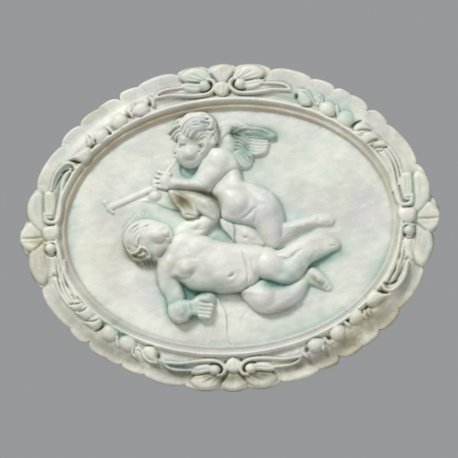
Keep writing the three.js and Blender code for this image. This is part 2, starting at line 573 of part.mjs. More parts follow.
const UPPER_SHIN = {
  outline: [[282, 223], [289, 222.4], [297, 220.8], [305, 218.4], [312, 217.4], [318, 215.2],
    [326, 214.8], [333, 217.2], [336.6, 221.4], [334, 226.2], [326, 228.4], [318, 227.2], [311, 229.2],
    [304, 231.6], [297, 234.2], [290, 238.2], [282, 242]],
  edge: 7, foot: -0.4, rise: [[288, 231, 9], [326, 222, 5]], blend: 0.6,
  forms: [mass([303, 224.6], [17, 7], -10, 0, 8.6, 3), mass([326, 220.6], [8, 5.6], 4, 0, 6.2, 2)],
  marks: [
    groove([[317, 226], [323, 227.4], [331.4, 226.8]], 1.5, 1.8),
  ],
};
const UPPER_BODY = {
  outline: [[241, 168], [243, 174], [245.6, 181], [254, 183.4], [262, 186.4], [270, 190.6], [277, 196.6],
    [282, 203.6], [285.6, 212], [286.8, 222], [286.4, 231], [284.6, 240], [280.6, 246.4], [275, 249.2],
    [269.4, 246.4], [263.6, 239.6], [258.8, 232], [255.6, 228], [249, 225.6], [240, 223.4], [230, 221.2],
    [223, 217.4], [222, 208], [219, 200], [213, 192.6], [216, 184], [222, 177], [228, 170], [235, 164]],
  edge: 11.5, foot: 0, rise: [[235, 200, 14], [277, 240, 11]], blend: 0.7,
  forms: [
    mass([236.5, 201.5], [17.5, 18], 8, 1, 17.5, 6),
    mass([267, 204], [19, 18], 30, 1, 17, 8),
    softLimb([268, 214], 16, 2.5, [276, 240], 10, 2, 8),
    mass([239, 184], [15, 13], 20, 1, 14.5, 7),
  ],
  marks: [
    swell([252.6, 198], [4.6, 9], -24, -2.2),
    groove([[257.6, 206.4], [251.6, 214.4], [243, 219.4]], 2.6, 2.4),
    groove([[257.4, 211], [257, 217.4], [255.6, 224]], 1.5, 2.4),
    swell([244, 204], [7, 6], 0, 0.9),
  ],
};
const UPPER_ARM = {
  outline: [[209, 145], [219, 145.6], [228, 148.4], [236, 153.4], [240.6, 161], [241.2, 169],
    [234.5, 172.6], [228, 174.8], [222.4, 180.6], [216.6, 186.6], [212, 192.6], [203, 190.8],
    [192, 189.4], [181, 188.2], [171, 188], [164, 187], [160.5, 180], [164, 174], [172, 174.4],
    [181, 175.8], [189, 177.2], [194.4, 176], [198, 169.6], [199.6, 161], [203, 153]],
  edge: 7.5, foot: 0.5, rise: [[222, 160, 12.6], [172, 181, 8]], blend: 0.6,
  forms: [
    mass([221, 158.5], [15, 12.5], 28, 2, 14, 6),
    softLimb([218, 166], 11.5, 3, [207, 181], 9, 4, 6),
    softLimb([204, 183.4], 7, 5.6, [177, 181.4], 5, 5.4, 5),
  ],
  marks: [
    swell([222, 157], [9, 8], 0, 1),
  ],
};
const UPPER_HAND = {
  blend: 0.5,
  forms: [
    dome([167.4, 180], [7.4, 8.2], 0, 3.6, 5, 1.5),
    ...fan(4, limb,
      [[170.6, 173.4], 2.1, 6, [159.4, 170.6], 1.5, 3.2, 0.4],
      [[167.5, 186], 2.1, 5.6, [155.4, 184.2], 1.7, 3.8, 0.4]),
    limb([156.6, 189.6], 1.9, 3.4, [155.4, 180.6], 1.7, 3.8, 0.4),
  ],
  marks: [],
};
const UPPER_HEAD = {
  outline: [[178, 128.4], [177.4, 134.6], [178.8, 139.8], [177.6, 143], [175.8, 146.8], [174.8, 150.4],
    [176.8, 152.4], [175.4, 155], [177.6, 157.6], [179.4, 161.4], [184, 165.8], [191, 167.8],
    [198, 166.6], [203.6, 162.4], [208.6, 156], [214, 148], [218, 138], [218, 127], [214, 118],
    [206, 112.6], [195, 111.8], [186, 115.6], [180.6, 121.4]],
  edge: 7.5, foot: 1, rise: [[184, 150, 12.6], [205, 135, 15.6]], blend: 0.7,
  forms: [
    mass([191.6, 151.6], [10.8, 9.6], 6, 5, 13.8, 4),
    mass([198, 127], [18, 15], -10, 4, 14.6, 4),
    mass([185, 137.8], [7.4, 3.8], 18, 6, 9.4, 3),
    dome([177.6, 149.6], [3, 3.8], 14, 5, 6, 2),
    dome([178.4, 155.6], [2.9, 2.2], 0, 5.8, 4.4, 1.2),
    mass([184, 160.6], [5, 4.4], 0, 4, 7, 3),
    leaf([[199.4, 143], [207.4, 141.4], [205.6, 149], [201, 152.2]], 3.4, [15.6, 14.6], 3.4, 0.6, 0.4,
        0.4),
  ],
  marks: [
    swell([182.4, 144.6], [4.2, 2.3], 10, -4.2),
    groove([[179.6, 140.6], [181.6, 143.4], [182.4, 147]], 1.5, 2.6),
    groove([[206.6, 144.6], [205, 149], [200.8, 151.6]], 1.5, 3),
    swell([202.4, 146.8], [1.4, 2.2], 14, -1.8),
  ],
};
const UPPER_HAIR = {
  outline: [[178, 128], [179.6, 121], [185, 115.4], [191, 112], [198, 111.4], [206, 111.4],
    [213.4, 115.2], [217.6, 120.8], [218.4, 127], [219.4, 132], [219.8, 137], [218, 142], [214.6, 145.6],
    [209.4, 145], [206.4, 141.4], [203.4, 142], [199.6, 141.6], [195.4, 140.6], [190, 138.4],
    [184.6, 135.6], [180.4, 132]],
  edge: 2.6, foot: 5, rise: [[182, 128, 6], [206, 128, 10]], blend: 0.4,
  forms: [
    mass([200, 124.6], [18, 13], -8, 6, 15, 4),
    ...fan(5, leaf,
      [[[206, 113], [193, 112.4], [184, 117], [178.6, 126.6]], 2.5, [14, 11], 3.6, 0.9, 0.55, 0.3],
      [[[203.4, 124.6], [199, 128.6], [194, 132.6], [190.6, 138.6]], 2.3, [17.6, 14.8], 3.6, 0.9, 0.55, 0.3]),
    ...fan(3, leaf,
      [[[205, 112.6], [213.6, 114.4], [218, 122], [215.6, 129]], 2.4, [15.4, 13], 3.4, -0.9, 0.5, 0.3],
      [[[207.4, 121], [212, 121.4], [213, 125.6], [209.4, 128.4]], 1.9, [18.4, 18.4], 2.8, -0.9, 0.5, 0.3]),
    ...fan(3, leaf,
      [[[218, 128.4], [213, 132], [204, 131.6], [199.6, 137.6]], 2.1, [14.6, 15.4], 3.6, 0.9, 0.6, 0.3],
      [[[214, 134.6], [209.6, 137], [205.4, 139.4], [202, 142]], 1.9, [14.6, 14.4], 3.2, 0.9, 0.6, 0.3]),
    leaf([[193.6, 133.6], [192, 138.6], [197.4, 141.4], [200.6, 139]], 1.7, [15.6, 14.6], 3, 0.6, 0.5,
        0.3),
    ...fan(4, leaf,
      [[[210.4, 134.6], [206.6, 139], [209, 144.4]], 1.9, [14.6, 11.6], 3.6, 0.7, 0.6, 0.3],
      [[[216.6, 129.6], [221, 134.6], [217.6, 141.6]], 1.9, [11, 6.6], 3.6, 0.7, 0.6, 0.3]),
  ],
  marks: [
    groove([[202.4, 120.8], [205.6, 123], [209, 121.8]], 1.5, 3),
    groove([[200.4, 131.6], [204.6, 129.8], [209.6, 131.4]], 1.6, 3.4),
    groove([[194, 143.6], [198, 142], [201.8, 143.6]], 1.5, 3),
    groove([[218.2, 134.6], [217.8, 137.6], [216.6, 140.4]], 1.5, 3),
  ],
};

const UPPER_TUFTS = {
  blend: 0.4,
  forms: [
    leaf([[183, 123.6], [176, 123.6], [169, 131.4]], 2.1, [12, 1.6], 3.8, 0.8, 0.45, 0.3),
    leaf([[183, 128.6], [176.6, 129], [172.4, 136.2]], 1.9, [12, 1.6], 3.8, 0.8, 0.45, 0.3),
    leaf([[182, 132.6], [178, 132.6], [175.6, 138.4]], 1.6, [11, 3], 3.6, 0.6, 0.45, 0.3),
    leaf([[184, 118.6], [179.4, 118.4], [176, 122.6]], 1.6, [11, 2.4], 3.2, 0.6, 0.45, 0.3),
  ],
  marks: [],
};

// Lower cherub, who lies back on one elbow and lifts the other arm
const LIFTED_ARM = {
  outline: [[180, 224], [188, 218.8], [198, 216.4], [206, 213], [214, 211], [221.4, 214], [220.4, 221],
    [213.6, 226.4], [207, 233.4], [200, 240], [188, 242], [178, 238], [175, 231]],
  edge: 7.5, foot: -0.6, rise: [[188, 231, 8.6], [214, 216, 9.6]], blend: 0.6,
  forms: [mass([197, 224], [9, 6], -28, 0, 10.4, 3)],
  marks: [],
};
const LIFTED_FOREARM = {
  outline: [[172, 188.6], [180, 188.8], [190, 189.6], [200, 191.8], [208, 194.8], [214.6, 198.2],
    [219.6, 203.6], [221.8, 210], [220.8, 217.6], [216.6, 221.2], [210, 219.2], [203.6, 214.6],
    [197, 211], [188, 205], [178, 197]],
  edge: 7, foot: 0.5, rise: [[184, 195, 9], [211, 207, 14]], blend: 0.6,
  forms: [softLimb([196, 196.6], 7, 6, [212, 206], 9.4, 5.6, 4)],
  marks: [],
};
const LIFTED_HAND = {
  outline: [[169.8, 189.4], [176, 189.6], [184, 193.6], [191, 198.2], [196, 202.8], [198.6, 208.6],
    [200.4, 213.6], [196, 217], [189, 217.6], [184, 215.4], [181.6, 210], [177.2, 204.8], [172.8, 198]],
  edge: 2.4, foot: 3, rise: [[175, 192, 8.6], [194, 212, 9]], blend: 0.5,
  forms: [
    cord([[173.4, 189], [182.5, 192.6], [190, 197.6], [195.2, 202.6], [196.8, 208], [199.6, 213]], 1.4,
        1.4, 11, 3.4, 0.5),
    cord([[171, 191.4], [175, 199.6], [180, 206], [184, 212]], 1.2, 1.4, 8, 1.8, 0.8),
    cord([[184.6, 208.6], [190, 210.6], [195.4, 211]], 1.9, 1.5, 8, 2.6, 0.8),
  ],
  marks: [
    swell([184, 201.4], [8.6, 4.2], 42, -5),
  ],
};
const SASH = {
  outline: [[221.4, 218.4], [229, 221.2], [234.4, 223.4], [236.8, 228.4], [236.2, 234], [235.8, 241],
    [231, 235.6], [226.8, 231.2], [223.4, 226.8]],
  edge: 1.2, foot: 3, rise: [[230, 228, 6.4], [235, 240, 4.6]], blend: 0.3,
  forms: [],
  marks: [],
};
const LOWER_BODY = {
  outline: [[165, 250], [170, 241], [178, 233], [188, 231], [198, 234.4], [207, 235], [216, 238.4],
    [226, 241.4], [238, 243.4], [250, 244.4], [262, 246], [270, 252], [268, 266], [262, 278],
    [256.6, 285], [249, 287.8], [243, 291.6], [232, 293.4], [222, 293.4], [214, 292], [206, 292.4],
    [198, 291], [190, 288.4], [184.6, 284], [178, 281], [170, 282], [163, 278], [158.6, 270],
    [159.4, 260]],
  edge: 11, foot: 0.4, rise: [[182, 258, 13.6], [230, 268, 17]], blend: 0.5,
  forms: [
    mass([224, 268], [24, 21], 10, 1, 20.6, 8),
    softLimb([190, 256], 15, 2, [212, 263], 18, 2, 8),
    mass([197.5, 248], [12, 10], 10, 2, 15.2, 5),
    mass([187, 265.4], [12.6, 11.4], 20, 2, 17.2, 5),
    mass([168.5, 262], [12, 11.5], 0, 1, 14.6, 6),
    mass([253.5, 268], [9, 18], -6, 1, 15, 4),
  ],
  marks: [
    groove([[244.4, 247.6], [246.2, 258], [248.9, 267], [250, 277], [247.6, 286]], 2.2, 2.4),
    groove([[252.4, 259], [254.6, 269], [258.2, 276.4], [256, 284]], 1.8, 2.2),
    swell([233.4, 274.8], [2.7, 1.5], -35, -4),
  ],
};
const LOWER_NEAR_LEG = {
  outline: [[254, 250], [262, 247.4], [272, 248], [280, 250.4], [288, 247], [296, 242.4], [304, 238.6],
    [313, 235.8], [322, 235.2], [331, 237], [338.4, 240.4], [342, 245], [340, 249.6], [331, 254.6],
    [321, 260.2], [312.8, 264.4], [309, 270], [304.6, 276.6], [298, 281.8], [290, 285.4], [281, 285.8],
    [273, 283], [265, 279.8], [258.6, 276.2], [254.8, 270], [252.4, 261]],
  edge: 9.5, foot: 0.8, rise: [[275, 265, 15.6], [332, 245, 5.6]], blend: 0.5,
  forms: [
    mass([271, 266.6], [19, 16.4], 8, 2, 18.4, 6),
    mass([293, 267.4], [14, 14], -20, 2, 16, 5),
    softLimb([301, 256], 11, 1, [320, 247.6], 7.4, 0.4, 5),
    mass([334, 243.2], [8, 5.6], -10, 0, 6.4, 3),
  ],
  marks: [
    groove([[275.6, 250.4], [279.6, 256.4], [285.6, 259.6], [291.4, 258.8], [297, 254], [304, 249.6]],
        2.6, 2.4),
  ],
};
const LOWER_FOOT = {
  outline: [[306, 275.6], [309, 270], [313.6, 267.6], [318.4, 269], [323, 273], [327.4, 278],
    [331.4, 283.4], [333.6, 288], [331.8, 291.6], [326.8, 292], [321, 289.6], [315.6, 287], [311, 285],
    [308, 282]],
  edge: 4, foot: -0.4, rise: [[312, 275, 8.4], [330, 289, 5]], blend: 0.5,
  forms: [mass([319, 278], [10.6, 5.6], 44, 1, 8.4, 3)],
  marks: [],
};
const LOWER_UNDER_LEG = {
  outline: [[241.6, 291.6], [248, 286.6], [256, 282], [264, 279], [275, 282], [286, 284], [296, 280.6],
    [303, 275], [309, 273], [312.4, 277.4], [311, 284], [307, 291.4], [303.4, 297.6], [298, 303.2],
    [290, 308.4], [281, 312.2], [272, 314], [263, 313], [255.6, 309.6], [249.6, 304], [244.4, 297.8]],
  edge: 9, foot: 0.8, rise: [[262, 297, 14.6], [308, 280, 8]], blend: 0.5,
  forms: [
    mass([263.5, 296.5], [17.5, 15], 0, 2, 17, 6),
    softLimb([284, 297], 12.4, 2, [303, 285], 8, 1, 6),
  ],
  marks: [],
};
const DRAPE = {
  outline: [[199.4, 315.6], [208, 304], [217.6, 295.6], [223, 303.6], [227.2, 311.6], [228.6, 321],
    [228.8, 332], [232.4, 339.4], [238, 347], [222, 347.6], [207.6, 347], [208.6, 337], [206.8, 328.8],
    [203.4, 322]],
  edge: 2, foot: 0, rise: [[214, 310, 3.8], [222, 344, 2.4]], blend: 0.4,
  forms: [cord([[217.6, 297], [223, 304.6], [226.6, 312], [227.8, 322], [227.8, 332.6], [231.6, 339.6],
    [236.6, 346]], 1.1, 1.3, 2.4, 2.4, 0.6)],
  marks: [
    groove([[200, 317.6], [204.4, 323.4], [207.4, 329.6], [208.4, 337]], 1.6, 1.8),
  ],
};
const LOWER_NEAR_ARM = {
  outline: [[160, 257], [168, 255], [174, 260], [177.4, 268], [178.6, 275], [181.4, 281.6], [185, 288.4],
    [187.2, 295.6], [186, 303], [179, 308], [170.6, 307.4], [167.2, 297.6], [162.8, 291.2], [160, 283.8],
    [158.4, 275], [158, 266]],
  edge: 8.5, foot: 0.6, rise: [[170, 268, 13.2], [178, 296, 11.4]], blend: 1.2,
  forms: [mass([169.6, 264.6], [11, 12], 10, 1, 15, 5)],
  marks: [],
};
const LOWER_ELBOW = {
  outline: [[169.4, 305], [174, 300.8], [181.4, 297.8], [189, 298.6], [193.6, 298.4], [198.4, 295],
    [204, 291.6], [212, 290.8], [217.6, 295], [216.4, 302], [214.8, 309], [213, 316.4], [206, 319],
    [200.6, 317.6], [196.4, 314.6], [192.4, 316.4], [190, 319.8], [184, 322.4], [177.6, 322.2],
    [172.6, 318.4], [169.8, 312.8]],
  edge: 5, foot: 1.6, rise: [[180, 310, 14], [208, 305, 10.6]], blend: 0.6,
  forms: [
    mass([181, 310], [12, 11.6], 0, 3, 15.4, 2.4),
    mass([207, 297.4], [10, 6.2], 6, 3, 12.8, 3),
    dome([211.4, 294.4], [3.6, 2.6], 10, 9, 5.6, 1.2),
    softLimb([190, 304], 7.6, 5, [199, 303], 7, 5, 3),
  ],
  marks: [
    groove([[193, 296], [192, 304], [195.6, 312.6]], 2.4, 2.2),
    swell([196, 317.4], [3.6, 2], 0, -4),
  ],
};
const LOWER_FIST = {
  blend: 0.4,
  forms: [
    ...fan(4, limb,
      [[202.4, 303.6], 1.6, 13.6, [213.8, 304.8], 1.6, 12, 0.2],
      [[201.8, 315], 1.5, 12.4, [210.8, 316], 1.5, 10.6, 0.2]),
  ],
  marks: [],
};
const LOWER_HEAD = {
  outline: [[147, 217.8], [155, 218.6], [161, 221], [168, 223.4], [172.6, 227.4], [175.8, 233],
    [176.6, 240], [174, 246], [171, 252], [166, 257], [160, 261.4], [152, 260], [142, 260.6], [133, 256],
    [128.6, 248], [124.8, 240], [126.4, 231], [131.6, 224], [138.4, 219.4]],
  edge: 8, foot: 0.8, rise: [[163, 254, 7.4], [160, 233, 13.6]], blend: 0.7,
  forms: [
    mass([158.6, 232.4], [13, 10.6], -6, 3, 16.6, 5),
    mass([145, 235], [15, 15], 4, 2, 11.4, 5),
    mass([162, 247.6], [11, 8.6], -24, 3, 8.6, 5),
    dome([167, 231.4], [3.6, 3], 30, 14, 4.6, 2),
    dome([163.6, 226], [3.8, 1.9], -10, 11.6, 5.4, 1.2),
    dome([148.6, 222.4], [3.6, 2], -6, 11.4, 4.4, 1.6),
    dome([169.6, 237.4], [3, 2], 30, 11.4, 3.6, 2),
    cord([[170.6, 226], [174.6, 232.4], [175.2, 240], [172.4, 247.4]], 1.3, 1.5, 6.6, 4.4, 0.8),
  ],
  marks: [
    swell([171.6, 241.4], [2, 3], 30, -2),
    groove([[168, 248.6], [166.6, 253.6], [159.6, 257]], 1.5, 1.8),
  ],
};
const LOWER_HAIR = {
  outline: [[144.6, 218.2], [138, 219.4], [130.4, 223.8], [125.6, 230.6], [123.8, 239], [126, 246.6],
    [128.8, 252.6], [132.4, 257.4], [137, 260.4], [143, 260.6], [149, 259.4], [153.6, 257],
    [153.4, 252.6], [150.4, 247.4], [146, 244], [142.4, 240], [143.4, 235], [140.8, 231], [142.6, 226.6],
    [140.6, 222.4]],
  edge: 2.6, foot: 1.6, rise: [[126, 238, 8], [143, 236, 11]], blend: 0.4,
  forms: [
    mass([136, 237.6], [14, 17], 16, 4, 8, 4),
    ...fan(5, leaf,
      [[[141, 219.6], [133, 221], [127, 228.6], [126.8, 240]], 2.2, [10.8, 8.4], 3.8, 0.9, 0.55, 0.3],
      [[[143.4, 230], [141, 235], [138.4, 239.6], [138.6, 245.6]], 1.9, [13.4, 12.2], 3.8, 0.9, 0.55, 0.3]),
    leaf([[128.6, 248], [133.6, 252.4], [139.6, 249.6], [141.6, 244]], 1.9, [9.6, 13], 4.2, 0.4, 0.5,
        0.3),
    leaf([[142.6, 246], [147.4, 247.2], [151, 250.8], [152, 255]], 1.9, [13, 10.6], 4.2, 0.6, 0.5, 0.3),
    leaf([[138.6, 253.6], [142.6, 254.6], [146.6, 252.6]], 1.6, [11.6, 13], 3.8, 0.4, 0.5, 0.3),
    ...fan(3, leaf,
      [[[126.4, 242.6], [128, 249.4], [132.6, 253.6]], 1.8, [7.4, 9], 3, 0.7, 0.5, 0.3],
      [[[130.6, 255.2], [137, 258.6], [145, 256.6]], 1.9, [7, 10.6], 3, 0.7, 0.5, 0.3]),
  ],
  marks: [
    swell([142.2, 249.8], [2.2, 1.1], -35, -3.4),
    swell([135.6, 254.6], [2.2, 1], 25, -3),
    swell([130, 248.8], [1.8, 2.4], -30, -3),
    swell([140.6, 257.6], [2.6, 1], 5, -2.6),
  ],
};
const LOWER_LOCKS = {
  blend: 0.3,
  forms: [
    leaf([[138.6, 257], [141.6, 259.6], [142.4, 264.6]], 1.4, [7.4, 1.6], 3.4, 0.5, 0.35, 0.2),
    leaf([[141.4, 256.6], [145.2, 260], [145.6, 267.2]], 1.4, [8, 1.4], 3.6, 0.5, 0.35, 0.2),
    leaf([[145, 256], [148.6, 260.4], [148.8, 266.4]], 1.4, [8.4, 1.4], 3.6, 0.5, 0.35, 0.2),
    leaf([[148.4, 255.4], [151.8, 259.6], [152.2, 265.8]], 1.3, [8.4, 1.4], 3.4, 0.5, 0.35, 0.2),
    leaf([[151, 253.6], [154.4, 257.4], [155.4, 262.4]], 1.1, [8, 1.6], 3, 0.5, 0.35, 0.2),
  ],
  marks: [],
};

const FIGURES = [
  UPPER_WING, UPPER_FAR_KNEE, UPPER_FAR_SHOULDER, TRUMPET, UPPER_FAR_ARM, UPPER_SHIN, UPPER_BODY,
  UPPER_ARM, UPPER_HAND, UPPER_HEAD, UPPER_HAIR, UPPER_TUFTS, LIFTED_ARM, LIFTED_FOREARM, LIFTED_HAND,
  SASH, LOWER_BODY, LOWER_FOOT, LOWER_UNDER_LEG, LOWER_NEAR_LEG, DRAPE, LOWER_NEAR_ARM, LOWER_ELBOW,
  LOWER_FIST, LOWER_HEAD, LOWER_HAIR, LOWER_LOCKS,
];
// Soft rise of the ground under the lower cherub, with the lines drawn in it and beside the head
const GROUND = [
  swell([200, 335], [90, 22], 0, 1.4),
  swell([320, 300], [60, 30], -20, 1.0),
  swell([268, 322], [24, 9], 0, 1.0),
];

// Height of the frame's ornament above the band
function ornamentHeight(x, y) {
  const turned = halfTurned(x, y);
  const upper = heightOf(ORNAMENT, [], x, y);
  const lower = heightOf(ORNAMENT, [], ...turned);
  const right = heightOf(TOP_SCROLL, [], ...mirrored(x, y));
  const left = heightOf(TOP_SCROLL, [], ...mirrored(...turned));
  const leftEnd = heightOf(LEFT_ORNAMENT, [], x, y);
  const rightEnd = heightOf(LEFT_ORNAMENT, [], ...mirrored(x, y));
  const highest = Math.max(upper, lower, right, left, leftEnd, rightEnd);
  return highest * (ORNAMENT_RELIEF / DRAWN_ORNAMENT_RELIEF);
}

// Lines and pockets cut into the frame
function frameMarksAt(x, y) {
  const turned = halfTurned(x, y);
  const around = marksAt(ORNAMENT_MARKS, x, y) + marksAt(ORNAMENT_MARKS, ...turned);
  const ends = marksAt(LEFT_ORNAMENT_MARKS, x, y) + marksAt(LEFT_ORNAMENT_MARKS, ...mirrored(x, y));
  const above = marksAt(TOP_SCROLL_MARKS, ...mirrored(x, y));
  return around + ends + above + marksAt(TOP_SCROLL_MARKS, ...mirrored(...turned));
}

const FIGURE_HEIGHTS = FIGURES.map(figureHeight);

// Height of the front above the back, at a point of the level plaque at its drawn size
function frontHeight(u, v) {
  const [x, y] = toSheet(u, v);
  const angle = Math.atan2(v, u);
  const inside = ovalRadius(angle) - Math.hypot(u, v);
  const rim = rimAt(angle * (180 / Math.PI));
  const swollen = Math.min(Math.max(1 - inside / BULGE_REACH, 0), 1);
  const bulge = LOBE_BULGE * (rim.arch - LEVEL_ARCH) * swollen;
  let height = FIELD_THICKNESS + frameSection(inside) + bulge + marksAt(RIM_CREASES, x, y);
  height = smoothMax(height, FIELD_THICKNESS + BAND_RISE + ornamentHeight(x, y), ORNAMENT_BLEND);
  height += frameMarksAt(x, y) + marksAt(GROUND, x, y);
  FIGURES.forEach((figure, i) => {
    const raised = FIELD_THICKNESS + FIGURE_HEIGHTS[i](x, y) * (FIGURE_RELIEF / DRAWN_FIGURE_RELIEF);
    height = smoothMax(height, raised, figure.blend);
  });
  return height;
}

// Square of the grid laid out as rings of the scalloped oval, at the drawn size
function layOut(i, j) {
  const a = (2 * i) / GRID - 1;
  const b = (2 * j) / GRID - 1;
  const wide = Math.abs(a) > Math.abs(b);
  const ring = Math.max(Math.abs(a), Math.abs(b));
  if (ring === 0) return [0, 0];
  const quarter = Math.PI / 4;
  const turn = wide ? quarter * (b / a) : 2 * quarter - quarter * (a / b);
  const signed = wide ? a : b;
  const u = signed * Math.cos(turn) * (DRAWN_LENGTH / 2);
  const v = signed * Math.sin(turn) * (DRAWN_HEIGHT / 2);
  const angle = Math.atan2(v, u);
  const swing = 1 + (rimAt(angle * (180 / Math.PI)).offset / ovalRadius(angle)) * ring ** RIM_HOLD;
  return [u * swing, v * swing];
}

// Front points of the grid, in the plaque's own frame
const POINTS = Array.from({ length: (GRID + 1) ** 2 }, (_, n) => {
  const [u, v] = layOut(n % (GRID + 1), Math.floor(n / (GRID + 1)));
  const x = u * (OVAL_LENGTH / DRAWN_LENGTH);
  const z = v * (OVAL_HEIGHT / DRAWN_HEIGHT);
  return new THREE.Vector3(x, -frontHeight(u, v), z);
});

function pointAt([i, j]) {
  return POINTS[i + j * (GRID + 1)];
}

function middleOf(a, b) {
  return [(a[0] + b[0]) / 2, (a[1] + b[1]) / 2];
}

// How far one straight edge strays from the surface at its middle; on the rim the outline counts too
function strayOf(a, b) {
  const middle = middleOf(a, b);
  const [start, end, real] = [pointAt(a), pointAt(b), pointAt(middle)];
  const onRim = middle.some((place) => place === 0 || place === GRID);
  const chord = start.clone().lerp(end, 0.5);
  const stray = onRim ? chord.distanceTo(real) : Math.abs(chord.y - real.y);
  return stray * start.distanceTo(end);
}

// Right triangles over the grid, each halved into two, down to single cells
function allHalves() {
  const triangles = [[[0, 0], [GRID, GRID], [GRID, 0]], [[GRID, GRID], [0, 0], [0, GRID]]];
  for (const [a, b, c] of triangles) {
    const middle = middleOf(a, b);
    if (Math.abs(a[0] - c[0]) + Math.abs(a[1] - c[1]) > 1) triangles.push([c, a, middle], [b, c, middle]);
  }
  return triangles;
}

// Stray at each grid point, taken up from the smallest triangles to the largest
function measureStray() {
  const stray = new Float64Array((GRID + 1) ** 2);
  const indexOf = ([i, j]) => i + j * (GRID + 1);
  for (const [a, b, c] of allHalves().reverse()) {
    const middle = middleOf(a, b);
    if (!middle.every(Number.isInteger)) continue;
    const parts = [middleOf(a, c), middleOf(b, c)].filter((place) => place.every(Number.isInteger));
    const below = parts.map((p) => stray[indexOf(p)]);
    stray[indexOf(middle)] = Math.max(stray[indexOf(middle)], strayOf(a, b), ...below);
  }
  return (place) => stray[indexOf(place)];
}

// Triangles that are kept: small where the relief is busy, large where it is plain
function keptTriangles() {
  const strayAt = measureStray();
  const kept = [];
  const halve = (a, b, c) => {
    const middle = middleOf(a, b);
    if (Math.abs(a[0] - c[0]) + Math.abs(a[1] - c[1]) > 1 && strayAt(middle) > SURFACE_TOLERANCE) {
      halve(c, a, middle);
      halve(b, c, middle);
    } else {
      kept.push([b, a, c]);
    }
  };
  halve([0, 0], [GRID, GRID], [GRID, 0]);
  halve([GRID, GRID], [0, 0], [0, GRID]);
  return kept;
}

// Points of the front that lie on the rim, in order round it
function rimPoints(triangles) {
  const onRim = (place) => place.some((k) => k === 0 || k === GRID);
  const rim = new Set(triangles.flat().filter(onRim).map(pointAt));
  return [...rim].sort((a, b) => Math.atan2(a.z, a.x) - Math.atan2(b.z, b.x));
}

function onBack(point) {
  return new THREE.Vector3(point.x, 0, point.z);
}

// Upright wall between the rim and the back
function wallCorners(rim) {
  return rim.flatMap((a, i) => {
    const b = rim[(i + 1) % rim.length];
    return [b, a, onBack(a), b, onBack(a), onBack(b)];
  });
}

// Flat back, with one whole facet in its middle where the plaque bears on the wall
function backCorners(rim) {
  const panel = [-150, 90, -30].map((degrees) => {
    const angle = degrees * (Math.PI / 180);
    return new THREE.Vector3(BACK_PANEL * Math.cos(angle), 0, BACK_PANEL * Math.sin(angle));
  });
  const places = [...rim.map(onBack), ...panel];
  const flat = (points) => points.map((point) => new THREE.Vector2(point.x, point.z));
  const faces = THREE.ShapeUtils.triangulateShape(flat(rim), [flat(panel)]);
  const around = faces.flatMap(([a, b, c]) => [places[c], places[b], places[a]]);
  return [...around, ...panel];
}

// The casting: carved front, wall and back
function castingGeometry() {
  const triangles = keptTriangles();
  const rim = rimPoints(triangles);
  const front = triangles.flat().map(pointAt);
  return new THREE.BufferGeometry().setFromPoints([...front, ...wallCorners(rim), ...backCorners(rim)]);
}

// Painted plaster, cream
const PLASTER = new THREE.MeshStandardMaterial({ color: 0xded9cc, roughness: 0.5, metalness: 0 });

function makePlaque() {
  const geometry = castingGeometry();
  geometry.computeVertexNormals();
  const plaque = new THREE.Mesh(geometry, PLASTER);
  plaque.name = 'plaque';
  return plaque;
}

const cherubPlaque = new THREE.Group();
cherubPlaque.add(makePlaque());

export default cherubPlaque;
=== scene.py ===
# Cherub wall plaque: an oval relief, cast in one piece, of two cherubs inside a scrolled frame.
# Metres. X runs along the plaque, Z is up, the flat back lies on the wall at Y = 0, and the
# carved front faces -Y. The carving is drawn in millimetres and scaled to the frame's plaque.
from collections import namedtuple
from math import cos, hypot, pi, radians, sin
import bpy
import numpy as np
from mathutils import Matrix, Vector


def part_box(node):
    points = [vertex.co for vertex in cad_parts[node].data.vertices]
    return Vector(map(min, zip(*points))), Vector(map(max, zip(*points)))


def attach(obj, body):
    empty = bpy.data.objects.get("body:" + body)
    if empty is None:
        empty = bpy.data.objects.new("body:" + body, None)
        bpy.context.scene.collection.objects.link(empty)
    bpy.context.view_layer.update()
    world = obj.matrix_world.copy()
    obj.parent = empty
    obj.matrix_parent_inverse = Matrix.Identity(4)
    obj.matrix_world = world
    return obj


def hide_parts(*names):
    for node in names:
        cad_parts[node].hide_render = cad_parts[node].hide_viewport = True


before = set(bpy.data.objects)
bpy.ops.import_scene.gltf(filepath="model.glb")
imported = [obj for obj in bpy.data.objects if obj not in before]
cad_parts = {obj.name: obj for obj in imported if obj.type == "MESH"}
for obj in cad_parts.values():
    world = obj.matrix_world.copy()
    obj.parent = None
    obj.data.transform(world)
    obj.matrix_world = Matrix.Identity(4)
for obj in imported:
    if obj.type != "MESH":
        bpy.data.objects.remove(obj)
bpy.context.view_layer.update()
PLAQUE_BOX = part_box("plaque")

# Sizes of the carving, in millimetres
FIELD_THICKNESS = 9
BAND_RISE = 3
LIP_RISE = 9.4
COVE_RISE = 3.9
FRAME_WIDTH = 48.5
FIGURE_RELIEF = 18.0
CREASE_DEPTH = 0.5
MILLIMETRE = 0.001

# The modeller's drawing sheet: x to the right, y down, one unit to the millimetre
SHEET_CENTRE = (230.0, 226.5)
SHEET_TILT = radians(2.2)
DRAWN_LENGTH = 416.0
DRAWN_HEIGHT = 324.0
DRAWN_FIGURE_RELIEF = 21.6
TOP_ORNAMENT_AXIS = (224.0, 64.6)

# Section of every form: how round its top is, how steep its walls are and how low the ground lies
LIMB_ROUNDNESS = 0.92
SOFT_POWER = 2.7
WALL_STEEPNESS = 6.0
LEAF_TIP = 0.02
FAR_BELOW = -40.0

# How far the box of a form reaches past its points: shares of its half width, and millimetres
CRISP_REACH = 1.5
SOFT_REACH = 1.7
CORD_REACH = 2
SWELL_REACH = 2.5
PLATE_MARGIN = 3.0

